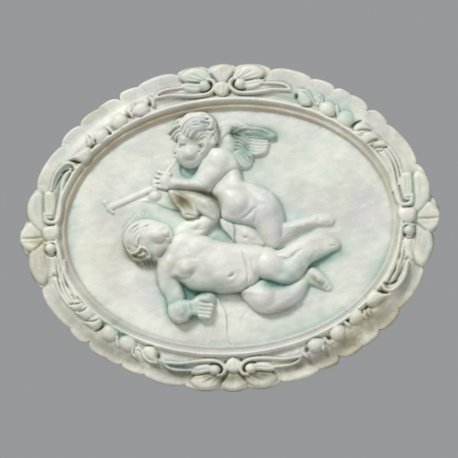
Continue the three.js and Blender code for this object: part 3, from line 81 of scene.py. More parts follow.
# Fineness of the drawing and of the mesh
GRID = 560
CURVE_STEPS = 8
OUTLINE_STEPS = 4
TOUCHING = 0.02
TINY = 1e-6
FAR_AWAY = 1e9

# A form has the corners of its box on the sheet, the softness of its join, and a height at each point
Form = namedtuple("Form", "low high blend height")


def smooth_max(a, b, blend):
    """Joins two heights with a soft valley between them."""
    share = np.maximum(blend - np.abs(a - b), 0) / max(blend, TINY)
    return np.maximum(a, b) + share * share * blend / 4


def form(points, reach, blend, height):
    return Form(np.min(points, axis=0) - reach, np.max(points, axis=0) + reach, blend, height)


def oval_distance(centre, half, turn):
    """Distance from a form's centre, 1 at its oval outline."""
    c, s = cos(radians(turn)), sin(radians(turn))

    def distance(x, y):
        dx, dy = x - centre[0], y - centre[1]
        return np.hypot((dx * c + dy * s) / half[0], (dy * c - dx * s) / half[1])
    return distance


def crown(d):
    """Round section, from 1 in the middle to 0 at the outline."""
    return np.sqrt(np.maximum(1 - d * d, 0))


def crisp(d, half_width, foot, body):
    """The body inside the outline, and a steep wall down from its foot outside."""
    return np.where(d < 1, body, foot - (d - 1) * half_width * WALL_STEEPNESS)


def dome(centre, half, turn, foot, rise, blend):
    """Bead or knob with a crisp outline."""
    distance = oval_distance(centre, half, turn)

    def height(x, y):
        d = distance(x, y)
        return crisp(d, min(half), foot, foot + rise * crown(d))
    return form([centre], max(half) * CRISP_REACH, blend, height)


def mass(centre, half, turn, foot, rise, blend):
    """Soft body whose sides lean out to meet what it lies on."""
    distance = oval_distance(centre, half, turn)

    def height(x, y):
        return foot + rise * (1 - distance(x, y) ** SOFT_POWER)
    return form([centre], max(half) * SOFT_REACH, blend, height)


def limb_distance(start, start_radius, start_foot, end, end_radius, end_foot):
    """Distance from a tapered limb's line, 1 at its outline, with its radius and foot there."""
    dx, dy = end[0] - start[0], end[1] - start[1]

    def distance(x, y):
        along = ((x - start[0]) * dx + (y - start[1]) * dy) / (dx * dx + dy * dy)
        t = np.clip(along, 0, 1)
        radius = start_radius + (end_radius - start_radius) * t
        d = np.hypot(x - start[0] - t * dx, y - start[1] - t * dy) / radius
        return d, radius, start_foot + (end_foot - start_foot) * t
    return distance


def limb(start, start_radius, start_foot, end, end_radius, end_foot, blend):
    """Finger or tube: a tapered rod with a crisp outline."""
    distance = limb_distance(start, start_radius, start_foot, end, end_radius, end_foot)

    def height(x, y):
        d, radius, foot = distance(x, y)
        return crisp(d, radius, foot, foot + LIMB_ROUNDNESS * radius * crown(d))
    return form([start, end], max(start_radius, end_radius) * CRISP_REACH, blend, height)


def soft_limb(start, start_radius, start_foot, end, end_radius, end_foot, blend):
    """Arm or leg: the same with soft sides."""
    distance = limb_distance(start, start_radius, start_foot, end, end_radius, end_foot)

    def height(x, y):
        d, radius, foot = distance(x, y)
        return foot + LIMB_ROUNDNESS * radius * (1 - d ** SOFT_POWER)
    return form([start, end], max(start_radius, end_radius) * SOFT_REACH, blend, height)


def curve(a, b, c, d, t):
    """Place on the smooth curve from b to c, with a before them and d after them."""
    bend = (2 * a - 5 * b + 4 * c - d) * t ** 2 + (3 * b - a - 3 * c + d) * t ** 3
    return b + ((c - a) * t + bend) / 2


def route(points):
    """Smooth line through its points: straight for two, one bow for three, a curve through all for more."""
    p = [np.array(point, float) for point in points]
    if len(p) == 2:
        return np.array(p)
    if len(p) == 3:
        t = np.linspace(0, 1, CURVE_STEPS * 2 + 1)[:, None]
        return (1 - t) ** 2 * p[0] + 2 * t * (1 - t) * p[1] + t * t * p[2]
    line = []
    for i in range(len(p) - 1):
        before, after = p[max(i - 1, 0)], p[min(i + 2, len(p) - 1)]
        line += [curve(before, p[i], p[i + 1], after, t) for t in np.arange(CURVE_STEPS) / CURVE_STEPS]
    return np.array(line + [p[-1]])


def closed_route(points):
    """Smooth closed line through its points."""
    p = np.array(points, float)
    before, after, beyond = np.roll(p, 1, axis=0), np.roll(p, -1, axis=0), np.roll(p, -2, axis=0)
    line = [curve(before, p, after, beyond, k / OUTLINE_STEPS) for k in range(OUTLINE_STEPS)]
    return np.stack(line, 1).reshape(-1, 2)


def along_route(points):
    """Nearest place on a line: share of its length, distance from it, and the side it lies on."""
    line = route(points)
    lengths = np.hypot(*np.diff(line, axis=0).T)

    def nearest(x, y):
        share, best, side = np.zeros(x.shape), np.full(x.shape, FAR_AWAY), np.ones(x.shape)
        run = 0.0
        for (ax, ay), (bx, by), length in zip(line[:-1], line[1:], lengths):
            dx, dy = bx - ax, by - ay
            t = np.clip(((x - ax) * dx + (y - ay) * dy) / (length * length), 0, 1)
            px, py = x - ax - t * dx, y - ay - t * dy
            d = np.hypot(px, py)
            closer = d < best
            best = np.where(closer, d, best)
            share = np.where(closer, run + t * length, share)
            side = np.where(closer, np.sign(dx * py - dy * px), side)
            run += length
        return share / run, best, side
    return nearest


def cord(points, start_width, end_width, foot, rise, blend):
    """Scroll or stem of round section along a line."""
    nearest = along_route(points)

    def height(x, y):
        t, distance, _ = nearest(x, y)
        width = start_width + (end_width - start_width) * t
        d = distance / width
        return crisp(d, width, foot, foot + rise * crown(d))
    return form(points, max(start_width, end_width) * CORD_REACH, blend, height)


def leaf(points, half_width, feet, rise, tilt, widest, blend):
    """Leaf, feather or lock of hair along a line, with one edge lifted by the tilt."""
    nearest = along_route(points)

    def height(x, y):
        t, distance, side = nearest(x, y)
        bow = np.where(t < widest, t / widest, (1 - t) / (1 - widest))
        width = half_width * np.sqrt(np.maximum(1 - (1 - bow) ** 2, LEAF_TIP))
        d = distance / width
        foot = feet[0] + (feet[1] - feet[0]) * t
        return crisp(d, width, foot, foot + rise * crown(d) + tilt * side * d)
    return form(points, half_width * CRISP_REACH, blend, height)


def inward(outline):
    """Depth inside a closed outline: true near the edge and evened out in the middle, negative outside."""
    starts = closed_route(outline)
    ends = np.roll(starts, -1, axis=0)

    def depth(x, y):
        pull, inside = np.zeros(x.shape), np.zeros(x.shape, bool)
        for (ax, ay), (bx, by) in zip(starts, ends):
            length = hypot(bx - ax, by - ay)
            dx, dy = (bx - ax) / length, (by - ay) / length
            along = (x - ax) * dx + (y - ay) * dy
            off = np.maximum(np.abs((x - ax) * dy - (y - ay) * dx), TOUCHING)
            rest = length - along
            pull += (along / np.hypot(off, along) + rest / np.hypot(off, rest)) / off ** 2
            if ay != by:
                inside ^= ((ay > y) != (by > y)) & (x < ax + (y - ay) * (bx - ax) / (by - ay))
        return np.where(inside, 1, -1) * np.sqrt(2 / np.maximum(pull, 1 / FAR_AWAY))
    return depth


def plate(outline, edge, foot, rise, blend):
    """Raised shape with a rounded edge and its own outline."""
    depth = inward(outline)

    def height(x, y):
        d = depth(x, y)
        return np.where(d > 0, foot + rise * crown(1 - np.clip(d / edge, 0, 1)), foot + d * WALL_STEEPNESS)
    return form(outline, PLATE_MARGIN, blend, height)


def swell(centre, half, turn, amount):
    """Soft swelling, or a hollow where the amount is negative, added to what is there."""
    distance = oval_distance(centre, half, turn)

    def height(x, y):
        return amount * np.exp(-distance(x, y) ** 2)
    return form([centre], max(half) * SWELL_REACH, 0, height)


def groove(points, half_width, depth):
    """Line pressed into what is there, fading at both ends."""
    nearest = along_route(points)

    def height(x, y):
        t, distance, _ = nearest(x, y)
        d = np.minimum(distance / half_width, 1)
        return -depth * (1 - d) ** 2 * (1 + 2 * d) * np.sqrt(np.maximum(4 * t * (1 - t), 0))
    return form(points, half_width, 0, height)


def between(a, b, t):
    """A number, or a list of them to any depth, on the way from one to another."""
    if isinstance(a, (list, tuple)):
        return [between(p, q, t) for p, q in zip(a, b)]
    return a + (b - a) * t


def fan(count, kind, first, last):
    """A row of like forms, with every number between those of the first and of the last."""
    return [kind(*between(first, last, i / (count - 1))) for i in range(count)]


def spots_in(low, high, x, y):
    """Which of the points lie in a box."""
    return np.nonzero((x > low[0]) & (x < high[0]) & (y > low[1]) & (y < high[1]))[0]


def add_marks(height, marks, x, y):
    for mark in marks:
        spots = spots_in(mark.low, mark.high, x, y)
        height[spots] += mark.height(x[spots], y[spots])


def height_of(forms, marks, x, y, start=FAR_BELOW):
    """Height of a group of forms, from the start up."""
    height = np.zeros(x.shape) + start
    for part in forms:
        spots = spots_in(part.low, part.high, x, y)
        height[spots] = smooth_max(height[spots], part.height(x[spots], y[spots]), part.blend)
    add_marks(height, marks, x, y)
    return height


def level_between(anchors, x, y):
    """Height that runs evenly from one anchor to the next."""
    if len(anchors) == 1:
        return np.full(x.shape, float(anchors[0][2]))
    (ax, ay, low), (bx, by, high) = anchors
    dx, dy = bx - ax, by - ay
    share = np.clip(((x - ax) * dx + (y - ay) * dy) / (dx * dx + dy * dy), 0, 1)
    return low + (high - low) * share


def figure_height(figure, x, y):
    """Height of one part of a figure: its forms, cut to its outline with a rounded edge."""
    forms, marks = figure.get("forms", []), figure.get("marks", [])
    if "outline" not in figure:
        return height_of(forms, marks, x, y)
    height = np.full(x.shape, FAR_BELOW)
    outline, foot = figure["outline"], figure["foot"]
    low, high = np.min(outline, axis=0) - PLATE_MARGIN, np.max(outline, axis=0) + PLATE_MARGIN
    spots = spots_in(low, high, x, y)
    px, py = x[spots], y[spots]
    body = height_of(forms, marks, px, py, foot + level_between(figure["rise"], px, py))
    depth = inward(outline)(px, py)
    rounded = foot + (body - foot) * crown(1 - np.clip(depth / figure["edge"], 0, 1))
    height[spots] = np.where(depth > 0, rounded, foot + depth * WALL_STEEPNESS)
    return height


# Each lobe of the rim: angle and offset of its notch, then of its crest, from the oval; they repeat
# after half a turn
LOBES = [
    [-4.5, -6.0, 0.8, 2.5], [6.0, -6.0, 11.0, -1.6], [15.5, -7.0, 22.0, -2.2], [30.0, -5.2, 34.5, -1.2],
    [37.0, -8.2, 41.5, -0.4], [44.5, -2.2, 47.0, -0.4], [49.7, -5.0, 53.0, 0.0], [58.0, -3.3, 65.5, 1.8],
    [72.3, -3.2, 78.5, 2.5], [85.0, -2.4, 90.0, 2.4], [95.0, -2.4, 101.0, 2.6], [106.5, -3.2, 113.5, 2.2],
    [120.5, -2.2, 125.5, 0.6], [128.0, -7.8, 132.0, -0.2], [135.5, -2.0, 139.5, -0.4],
    [143.0, -5.2, 147.0, -0.8], [151.5, -5.8, 160.0, -2.2], [166.0, -7.0, 171.0, -1.5],
]
LOBE_BULGE = 0.45
LOBE_MIDDLE = 0.6
BULGE_REACH = 12.0
EDGE_ROLL = 1.4
ROLL_REACH = 2.6
# Crease from each notch: places inside the oval, with the degrees by which it trails off
CREASE_PATH = [(-4, 0), (3, 0.7), (10, 1.8)]
CREASE_WIDTH = 1.8


def rim_at(angle):
    """Offset of the rim from the oval and how far up a lobe it is, at angles in degrees."""
    first = LOBES[0][0]
    turned = np.mod(angle - first, 180) + first
    offset, arch = np.zeros(turned.shape), np.zeros(turned.shape)
    ends = LOBES[1:] + [[first + 180, LOBES[0][1]]]
    for (start_angle, start, crest_angle, crest), (end_angle, end, *_) in zip(LOBES, ends):
        here = (turned >= start_angle) & (turned <= end_angle)
        a = turned[here]
        rising = a < crest_angle
        up = (a - start_angle) / (crest_angle - start_angle)
        down = (end_angle - a) / (end_angle - crest_angle)
        arch[here] = crown(1 - np.where(rising, up, down))
        low = np.where(rising, start, end)
        offset[here] = low + (crest - low) * arch[here]
    return offset, arch


def oval_radius(angle):
    """Radius of the drawn oval at angles in radians."""
    a, b = DRAWN_LENGTH / 2, DRAWN_HEIGHT / 2
    return a * b / np.hypot(b * np.cos(angle), a * np.sin(angle))


def to_sheet(u, v):
    """From the level plaque to the tilted sheet."""
    c, s = cos(SHEET_TILT), sin(SHEET_TILT)
    return SHEET_CENTRE[0] + u * c - v * s, SHEET_CENTRE[1] - u * s - v * c


def sheet_point(degrees, inside):
    """Point of the sheet at an angle and a depth inside the oval."""
    angle = radians(degrees)
    radius = float(oval_radius(angle)) - inside
    return to_sheet(radius * cos(angle), radius * sin(angle))


RIM_CREASES = [
    groove([sheet_point(notch - trail, inside) for inside, trail in CREASE_PATH], CREASE_WIDTH, CREASE_DEPTH)
    for lobe in LOBES for notch in (lobe[0], lobe[0] + 180)
]

# Frame section, from the rim inwards: place inside the oval and height above the field
FRAME_SECTION = [
    [-8, 0.2 * BAND_RISE], [-2, 0.85 * BAND_RISE], [1.5, 1.2 * BAND_RISE], [4, 1.1 * BAND_RISE],
    [9, 0.9 * BAND_RISE], [13, 1.05 * BAND_RISE], [17, 1.6 * BAND_RISE], [21, 2.1 * BAND_RISE],
    [25, 2.05 * BAND_RISE], [28, 1.65 * BAND_RISE], [31, 1.7 * BAND_RISE], [33, 0.8 * LIP_RISE],
    [34.3, LIP_RISE], [35.2, 0.98 * LIP_RISE], [36.2, 0.66 * LIP_RISE], [37.6, 1.12 * COVE_RISE],
    [39.2, 0.95 * COVE_RISE], [41, 1.1 * COVE_RISE], [42.6, COVE_RISE], [43.4, 0.6 * COVE_RISE],
    [44.4, 0.02 * COVE_RISE], [FRAME_WIDTH, 0],
]

# Forms and marks of the ornament; feet and rises are drawn heights above the band
ORNAMENT_BLEND = 0.8

# Shell in the middle of the top
TOP_MIDDLE = [
    plate([[210.4, 70.6], [216, 65.4], [224, 62.4], [231.6, 63.8], [237, 69], [234, 76], [229.6, 83],
        [219.6, 83], [214.4, 76]], 4.5, -1, 4.6, 0.5),
    plate([[217, 83], [224, 80.6], [231, 83], [232.6, 88], [230, 93], [225.4, 96], [220, 94.4],
        [216, 91.6], [215.4, 87]], 5, 2, 6, 0.8),
]
TOP_MIDDLE_MARKS = [
    groove([[211.6, 71.4], [216, 76.4], [220.4, 82]], 1.4, 1),
    groove([[236.8, 70], [233, 76.4], [228.6, 82]], 1.4, 1),
    groove([[224, 66], [224.2, 73], [224.4, 80]], 3, 0.6),
    groove([[221.2, 84], [220.8, 89], [221.6, 94]], 1.3, 1),
    groove([[227, 84], [227.6, 89], [227, 94]], 1.3, 1), swell([216.6, 93.4], [1.8, 1.4], 0, -2.4),
    swell([232, 91.4], [1.8, 1.4], 0, -2.4),
]
# Leaf scroll beside it, which the other side mirrors
TOP_SCROLL = [
    plate([[180.6, 75.6], [184.4, 70.8], [190.4, 67.4], [198, 66.2], [206, 68.2], [211, 71.4], [214.4, 78],
        [208, 82], [198, 83], [188, 82], [183, 79.6]], 4.5, -0.6, 5.2, 0.5),
    plate([[182.6, 83], [190, 81.4], [199, 82], [206, 81.6], [210.4, 85], [205.4, 90], [197, 92],
        [189, 90.8], [184.6, 87.6]], 3.6, 0.8, 4.8, 0.5),
    cord([[209.6, 79.2], [214.8, 80.2], [217.2, 85.2], [214, 90.8], [206.6, 94], [196, 95], [184, 94.6],
        [172, 94.2], [158, 96.4]], 2.1, 1.5, 3, 4, 0.8),
    cord([[185, 86.4], [176, 87.2], [166, 88.8], [159.4, 92.2], [156, 98]], 1.4, 1.9, 1.6, 3.4, 0.8),
    dome([206.8, 84.8], [5.8, 5], 20, 3.4, 5.4, 0.5),
]
TOP_SCROLL_MARKS = [
    groove([[210.4, 80.2], [213.8, 84.6], [211.6, 89.2], [206, 91.6], [201, 90]], 1.6, 3.2),
    groove([[186, 76.4], [196, 78.4], [208, 80.8]], 1.2, 1.1),
    groove([[193, 72.6], [201, 75.6], [209.4, 80]], 1.2, 1),
    groove([[202, 69.6], [207, 73.6], [211, 79]], 1.2, 0.8),
    groove([[185.6, 85.4], [193, 86.2], [202, 87]], 1.2, 1),
    groove([[187, 80.6], [196, 82.2], [207, 82.4]], 1.3, 1.6),
    groove([[182, 76.4], [184, 80], [186.6, 83.4]], 1.4, 1.4),
    groove([[161, 95], [170, 92], [183, 90.4]], 1.4, 1.2),
]
# Shell, leaves and scrolls at the left end
LEFT_ORNAMENT = [
    plate([[29.6, 219.4], [22.4, 225.4], [18.4, 232], [18.6, 239], [22.4, 245], [29, 250.4], [36, 249],
        [44.6, 240], [43.4, 231], [37, 225]], 4.4, -0.8, 4.8, 0.5),
    plate([[38.6, 188.4], [33, 190.2], [28.6, 195], [26.2, 202], [25.8, 208.6], [27.2, 215.4], [30, 220.4],
        [35.4, 226.4], [42, 231], [46, 226], [45.8, 216], [45.4, 204], [44.6, 194]], 5.5, -0.8, 5.4, 0.4),
    plate([[30, 250], [28, 256], [27.8, 262.6], [29.8, 269.8], [34, 277], [38.4, 281.8], [42.8, 283],
        [46.4, 281], [49, 275.4], [49.4, 268], [47, 261], [46.4, 252], [46, 243.6], [41, 241.4],
        [35.4, 246]], 5.5, -0.8, 5.6, 0.4),
    plate([[47, 253.6], [49.6, 261], [50, 269], [49, 275], [53, 276.6], [57, 272.4], [58.2, 262],
        [57, 252.6], [52, 250.6]], 3.2, 0.4, 4.4, 0.4),
    plate([[42.4, 231.6], [44.2, 225.6], [50.6, 223.8], [58, 224], [60.6, 229], [58.2, 236.6], [52, 240.4],
        [46, 238.6]], 5, 2.6, 5.6, 0.6),
    plate([[44.4, 190.4], [51, 188.8], [55.8, 193], [56.4, 202], [55.4, 210], [53.8, 216], [47, 216.6],
        [44.4, 208], [43.8, 198]], 3.2, 1.6, 4.2, 0.5),
    dome([51, 246.8], [5.4, 5], 0, 4, 5.8, 0.3),
    cord([[46.4, 242], [53.6, 240.2], [58.6, 244], [61, 252], [62.8, 262], [65.8, 273], [70.8, 284],
        [78, 295]], 1.7, 1.5, 2.8, 3.6, 0.8),
    cord([[57.6, 257], [60.4, 270], [65, 282], [72, 292.6]], 1.2, 1.3, 1.8, 2.8, 0.6),
    cord([[54.6, 275], [58.2, 284], [62.8, 292.4], [69, 299.8], [76, 305.6]], 1.7, 1.9, 1.2, 3.4, 0.8),
    cord([[45.4, 212.6], [46.6, 219], [53, 221.2], [59, 217.4], [61.2, 208], [61.4, 196], [62.6, 185],
        [66, 175], [70.6, 167.6]], 2.4, 1.5, 2.6, 3.8, 0.8),
]
LEFT_ORNAMENT_MARKS = [
    groove([[19.6, 237], [30, 236.6], [43, 235.8]], 2.4, 1.8), swell([31, 241], [8, 3.4], 0, -1),
    groove([[44.8, 238.6], [39, 243.4], [33.6, 249]], 1.2, 1.2),
    groove([[40, 250], [42.6, 261], [46.6, 271]], 1.3, 1),
    groove([[34.6, 253], [35.4, 264], [39.4, 275]], 2, 0.5),
    groove([[36.4, 196], [35.6, 207], [38, 218]], 1.8, 0.6),
    groove([[42.4, 194], [42.6, 206], [43.4, 218]], 1.3, 1),
    groove([[45.8, 248.6], [48.6, 254], [54, 254.2], [57, 249.4]], 1.6, 2.8),
    *fan(3, groove, [[[47, 194], [46.4, 202], [47.8, 212]], 1.1, 1.3], [[[53.4, 193.4], [53.8, 203],
        [52.6, 212]], 1.1, 1.3]),
    groove([[45.4, 213.6], [49.4, 215.4], [54.4, 214]], 1.1, 1.2), swell([51.6, 222.9], [5, 1], 0, -2.6),
    swell([55.6, 275], [3, 2], 20, -2.6),
]
# Beads, bellflower and C-scroll from the top round to the left
BEAD_RUN = [
    leaf([[149.6, 95.6], [155.6, 98.4], [155, 105.4]], 2.6, [2.6, 2.4], 4, 0.4, 0.5, 0.6),
    dome([142.4, 107.8], [9.6, 7.4], -26, 1, 6.6, 2.2),
    leaf([[135.6, 101.4], [133.4, 106.6], [135.4, 112.6]], 2, [2.6, 2.6], 3.6, 0.4, 0.5, 0.6),
    leaf([[127, 107.6], [131.6, 110.4], [134, 115.6]], 2, [2.4, 2.4], 3.2, 0.4, 0.5, 0.6),
    dome([120.6, 119.6], [8.8, 7.8], -35, 1, 6.6, 2.2),
    leaf([[107.6, 125], [112.8, 128], [114, 133]], 2, [2.4, 2.4], 3.2, 0.4, 0.5, 0.6),
    dome([101.6, 134.4], [9.4, 7.4], -36, 1, 6.4, 2.2),
    leaf([[91.4, 132.4], [94.6, 136.4], [94.2, 142]], 2.2, [2.6, 3], 4, 0.5, 0.5, 0.5),
    leaf([[88.4, 136], [91, 140], [90.6, 145]], 1.8, [2.6, 2.6], 3.4, 0.5, 0.5, 0.5),
    plate([[66, 158], [74.6, 152.4], [82, 147], [89.6, 144.4], [93, 149], [91.6, 156], [86, 161],
        [80, 160.4], [74.6, 157.8]], 6.5, 1.2, 7.6, 0.8),
    cord([[76.6, 166.6], [73, 161.8], [66, 161.6], [58, 168.6], [53, 178.6], [51.4, 188.6]], 2, 1.4, 2,
        4.4, 0.8),
    cord([[69.6, 168], [64, 175], [61.4, 184], [61.4, 194]], 1.5, 1.3, 2, 3, 0.8),
]
BEAD_RUN_MARKS = [
    swell([151, 103], [2, 2.8], 20, -4.4), swell([129.6, 114.4], [3, 1.9], 25, -4.4),
    swell([133.6, 108.6], [1.3, 2], 0, -2.4), swell([111.2, 131.6], [2.2, 1.6], 0, -4),
    swell([91.4, 144.4], [2.6, 1.4], -20, -4), swell([95.8, 139.6], [1.4, 1.9], 0, -3),
    groove([[70, 158.8], [77, 158.4], [85, 162.6]], 2, 3.6),
    groove([[61, 171.6], [66, 166.4], [74.6, 168.4]], 2, 3.4),
    groove([[65.6, 168.4], [58, 176.6], [55, 188.4]], 1.6, 2.8),
    groove([[135, 112.6], [141, 116.4], [147.6, 114.4]], 1.6, 1.4),
    groove([[113.6, 128], [119.6, 129.4], [126.4, 126.4]], 1.6, 1.4),
    groove([[95.6, 142.6], [102, 143], [108.6, 139.4]], 1.6, 1.4),
]
# Beads, three bellflowers and their stems from the top round to the right
FLOWER_RUN = [
    plate([[300, 92], [306, 92.4], [312.4, 97], [315, 103], [311.6, 108], [305, 107.6], [301, 103],
        [299, 97]], 5.5, 1, 7, 1),
    cord([[301, 91.4], [308.6, 92.6], [314.4, 98.6], [318, 104.6], [322.4, 106], [325.6, 101.6],
        [322.6, 97]], 1.7, 1.2, 2, 3.6, 0.8),
    dome([330.4, 110.8], [9.4, 8], 32, 1, 6.6, 2.2),
    leaf([[339, 107], [341.6, 112], [340, 118]], 2, [2.4, 2.4], 3.4, 0.4, 0.5, 0.6),
    dome([348.2, 121], [9.4, 8.4], 35, 1, 6.6, 2.2),
    plate([[355.6, 131], [358.6, 126.6], [364, 124.8], [370, 127.6], [375.4, 133.6], [370, 134.6],
        [364.6, 139.6], [358.6, 138]], 5, 1.4, 6.8, 0.6),
    plate([[362.6, 139.6], [366.6, 134.6], [374, 134], [380.6, 138.6], [383.6, 142.6], [378.6, 144.4],
        [374.4, 149.6], [368, 148]], 5.4, 1.6, 7.2, 0.6),
    plate([[374, 148], [378, 143.6], [384.6, 143.4], [390.6, 148.6], [387, 150.6], [383, 154.4],
        [377, 153]], 4.2, 1.6, 6, 0.6),
    *fan(4, cord, [[[391, 150.4], [398, 160.6], [402.4, 172], [404, 184]], 1.5, 1.2, 2, 3.4, 0.5],
        [[[381.6, 154], [388, 164.6], [392.4, 178], [394.6, 194]], 1.4, 1.2, 2, 3, 0.5]),
]
FLOWER_RUN_MARKS = [
    swell([299.6, 97.6], [2.2, 2.6], 0, -4.4),
    groove([[303.6, 106.8], [308, 109], [312.6, 107]], 1.5, 1.8),
    groove([[314.4, 96.6], [317.4, 102.6], [321, 106.8], [324.4, 103]], 1.3, 2.8),
    groove([[322, 114.6], [328, 119.8], [336.4, 119.4]], 1.6, 1.4),
    groove([[340.6, 123], [345.6, 129.6], [352.6, 130.8]], 1.6, 1.4),
    groove([[354, 128.6], [358.6, 123.6], [365, 123]], 1.8, 3.4),
    groove([[358.4, 134.8], [365.6, 131], [375, 133.4]], 1.8, 3.4),
    groove([[370, 147.6], [374.6, 142.6], [382, 141.4]], 1.8, 3.4),
    groove([[376, 151.6], [382, 149.4], [389.6, 150]], 2, 3.6),
    groove([[362, 133], [364, 137.6], [368.4, 141]], 1.6, 1),
    groove([[389.4, 150], [396.4, 159.6], [400.6, 171], [402, 182]], 1.1, 1.6),
    groove([[384.6, 152.6], [390.6, 163], [394.8, 176], [396.8, 192]], 1.1, 1.6),
]
ORNAMENT = [*TOP_MIDDLE, *TOP_SCROLL, *BEAD_RUN, *FLOWER_RUN]
ORNAMENT_MARKS = [*TOP_MIDDLE_MARKS, *TOP_SCROLL_MARKS, *BEAD_RUN_MARKS, *FLOWER_RUN_MARKS]

# Figures; feet and rises are drawn heights above the field, and each group lies over those before it

# Upper cherub, who flies in from the right and blows a trumpet
UPPER_WING = dict(
    outline=[[219, 124], [226, 119.4], [236, 118.6], [246, 121.6], [252, 125.6], [260, 126.4], [269, 129],
        [276, 132.6], [278.4, 136], [274.4, 139.6], [270.6, 141], [272.8, 142.6], [271, 146],
        [270.8, 149.6], [268, 153.6], [260, 156.2], [255.6, 158.4], [254.8, 163], [251.4, 167.6],
        [245, 169.6], [238, 169], [231, 166.4], [225, 160], [221, 152], [218, 140], [217, 131]],
    edge=2.6, foot=-0.3, rise=[[228, 145, 4.6], [272, 142, 2.6]], blend=0.6,
    forms=[
        mass([232, 143], [8.5, 14], -6, 0.5, 8, 3),
        leaf([[236, 132], [257, 126.8], [277.6, 136.6]], 6.6, [2.6, 2], 4.6, 0.4, 0.66, 1.2),
        *fan(5, leaf, [[[247, 138], [260, 143.4], [273.4, 141.2]], 2.1, [3.4, 1.4], 2.6, -0.9, 0.62, 0.2],
            [[[246, 150], [257, 157.2], [268.4, 152.6]], 2.5, [2.4, 1.2], 3, -0.9, 0.62, 0.2]),
        *fan(4, leaf, [[[252, 128.6], [262, 128.6], [272, 133]], 1.7, [6.4, 5.4], 1.6, -0.5, 0.6, 0.2],
            [[[248, 136.4], [258, 137.6], [268, 138.6]], 1.5, [4.4, 3.6], 1.6, -0.5, 0.6, 0.2]),
        *fan(5, leaf, [[[238.6, 133.4], [245, 134], [251.6, 141]], 1.9, [5.4, 4.2], 2.4, -0.8, 0.55, 0.2],
            [[[236, 147], [243, 148.6], [249, 156.6]], 2.1, [5.4, 3.6], 2.4, -0.8, 0.55, 0.2]),
        dome([243.5, 161.5], [10.5, 7.4], 8, 0.4, 5, 1.5),
        *fan(5, leaf, [[[240, 149.6], [248, 151], [255.6, 159.6]], 2, [4.6, 3.8], 2.6, -0.8, 0.6, 0.2],
            [[[231, 154.4], [236.6, 158.6], [239, 168.4]], 2.2, [5, 3], 2.6, -0.8, 0.6, 0.2]),
        *fan(5, leaf, [[[221, 122.4], [228, 119.6], [235, 123.6]], 1.9, [2.6, 2.6], 2.2, -0.6, 0.5, 0.2],
            [[[221.6, 138], [226.6, 132], [233, 131]], 2, [4, 4.4], 2.4, -0.6, 0.5, 0.2]),
        *fan(3, leaf, [[[236, 119.6], [243, 120.4], [249, 126]], 1.9, [2.6, 2.4], 2, -0.6, 0.55, 0.2],
            [[[229, 124.6], [237, 124.4], [243, 128.6]], 1.9, [3.4, 3], 2, -0.6, 0.55, 0.2]),
        dome([229, 157.6], [4, 3.6], 0, 5.6, 3.2, 0.6), dome([223.6, 152], [3.2, 3], 0, 5.6, 2.4, 0.8),
    ],
    marks=[
        groove([[241, 130.6], [256, 129.4], [264, 131.6], [272, 135.6]], 3, 2),
        swell([240.5, 132.8], [8, 3.6], -6, -3.8),
        groove([[232.4, 131.4], [234.4, 135], [238, 138.8]], 1.8, 3),
        swell([248.4, 146.6], [2.4, 3.6], -20, -2.4), swell([254.6, 157.4], [2, 1.6], 0, -2),
        groove([[225.4, 157], [227, 161.6], [231.6, 162], [233.6, 158]], 1.2, 1.4),
        groove([[232, 166.6], [238, 166], [246, 168]], 1.2, 1.4),
    ],
)
UPPER_FAR_KNEE = dict(
    outline=[[233, 224], [241, 223], [250, 225], [257, 229], [264, 239], [266, 246], [256, 247],
        [243, 246], [235, 240]],
    edge=6, foot=-1, rise=[[250, 236, 7]], blend=2,
    forms=[mass([251, 234], [12, 8], 20, 0, 8.4, 3)],
    marks=[swell([247.2, 237.4], [1.9, 1.3], 10, -3)],
)
TRUMPET = dict(
    blend=0.4,
    forms=[
        limb([157, 185.4], 2.7, 0.4, [109, 206.2], 3.6, -0.8, 0.6),
        limb([178, 157.6], 1.7, 3, [166.5, 173.5], 2.3, 3, 1),
        cord([[104.8, 200.4], [107.6, 205.6], [112.8, 211]], 1.5, 1.5, 0.2, 3, 0.5),
    ],

)
UPPER_FAR_ARM = dict(
    outline=[[139, 199.4], [147, 196.6], [151, 190], [157, 187.4], [164, 188.6], [174, 192], [182, 202],
        [184, 210], [172, 208.8], [163, 205.4], [151, 201.4]],
    edge=4, foot=-0.6, rise=[[150, 196, 2.4], [176, 204, 4.2]], blend=0.6,
    forms=[mass([156, 194.4], [7.4, 6.2], -8, 0.4, 6, 1.5)],
    marks=[
        groove([[140, 200.2], [151, 201.8], [163, 205.8], [172, 209], [181, 209.6]], 1.2, 1.2),
        groove([[162, 190], [163.8, 194.6], [162.6, 200]], 1.1, 1.2),
    ],
)
UPPER_FAR_SHOULDER = dict(
    outline=[[176, 156], [181.4, 162], [182, 170], [185, 175.2], [191, 176.8], [195, 173.4], [197.4, 167],
        [204, 172], [202, 184], [180, 184], [168, 180], [166, 172], [171, 163]],
    edge=3, foot=-0.6, rise=[[175, 168, 4.6], [196, 180, 5]], blend=0.6,


)
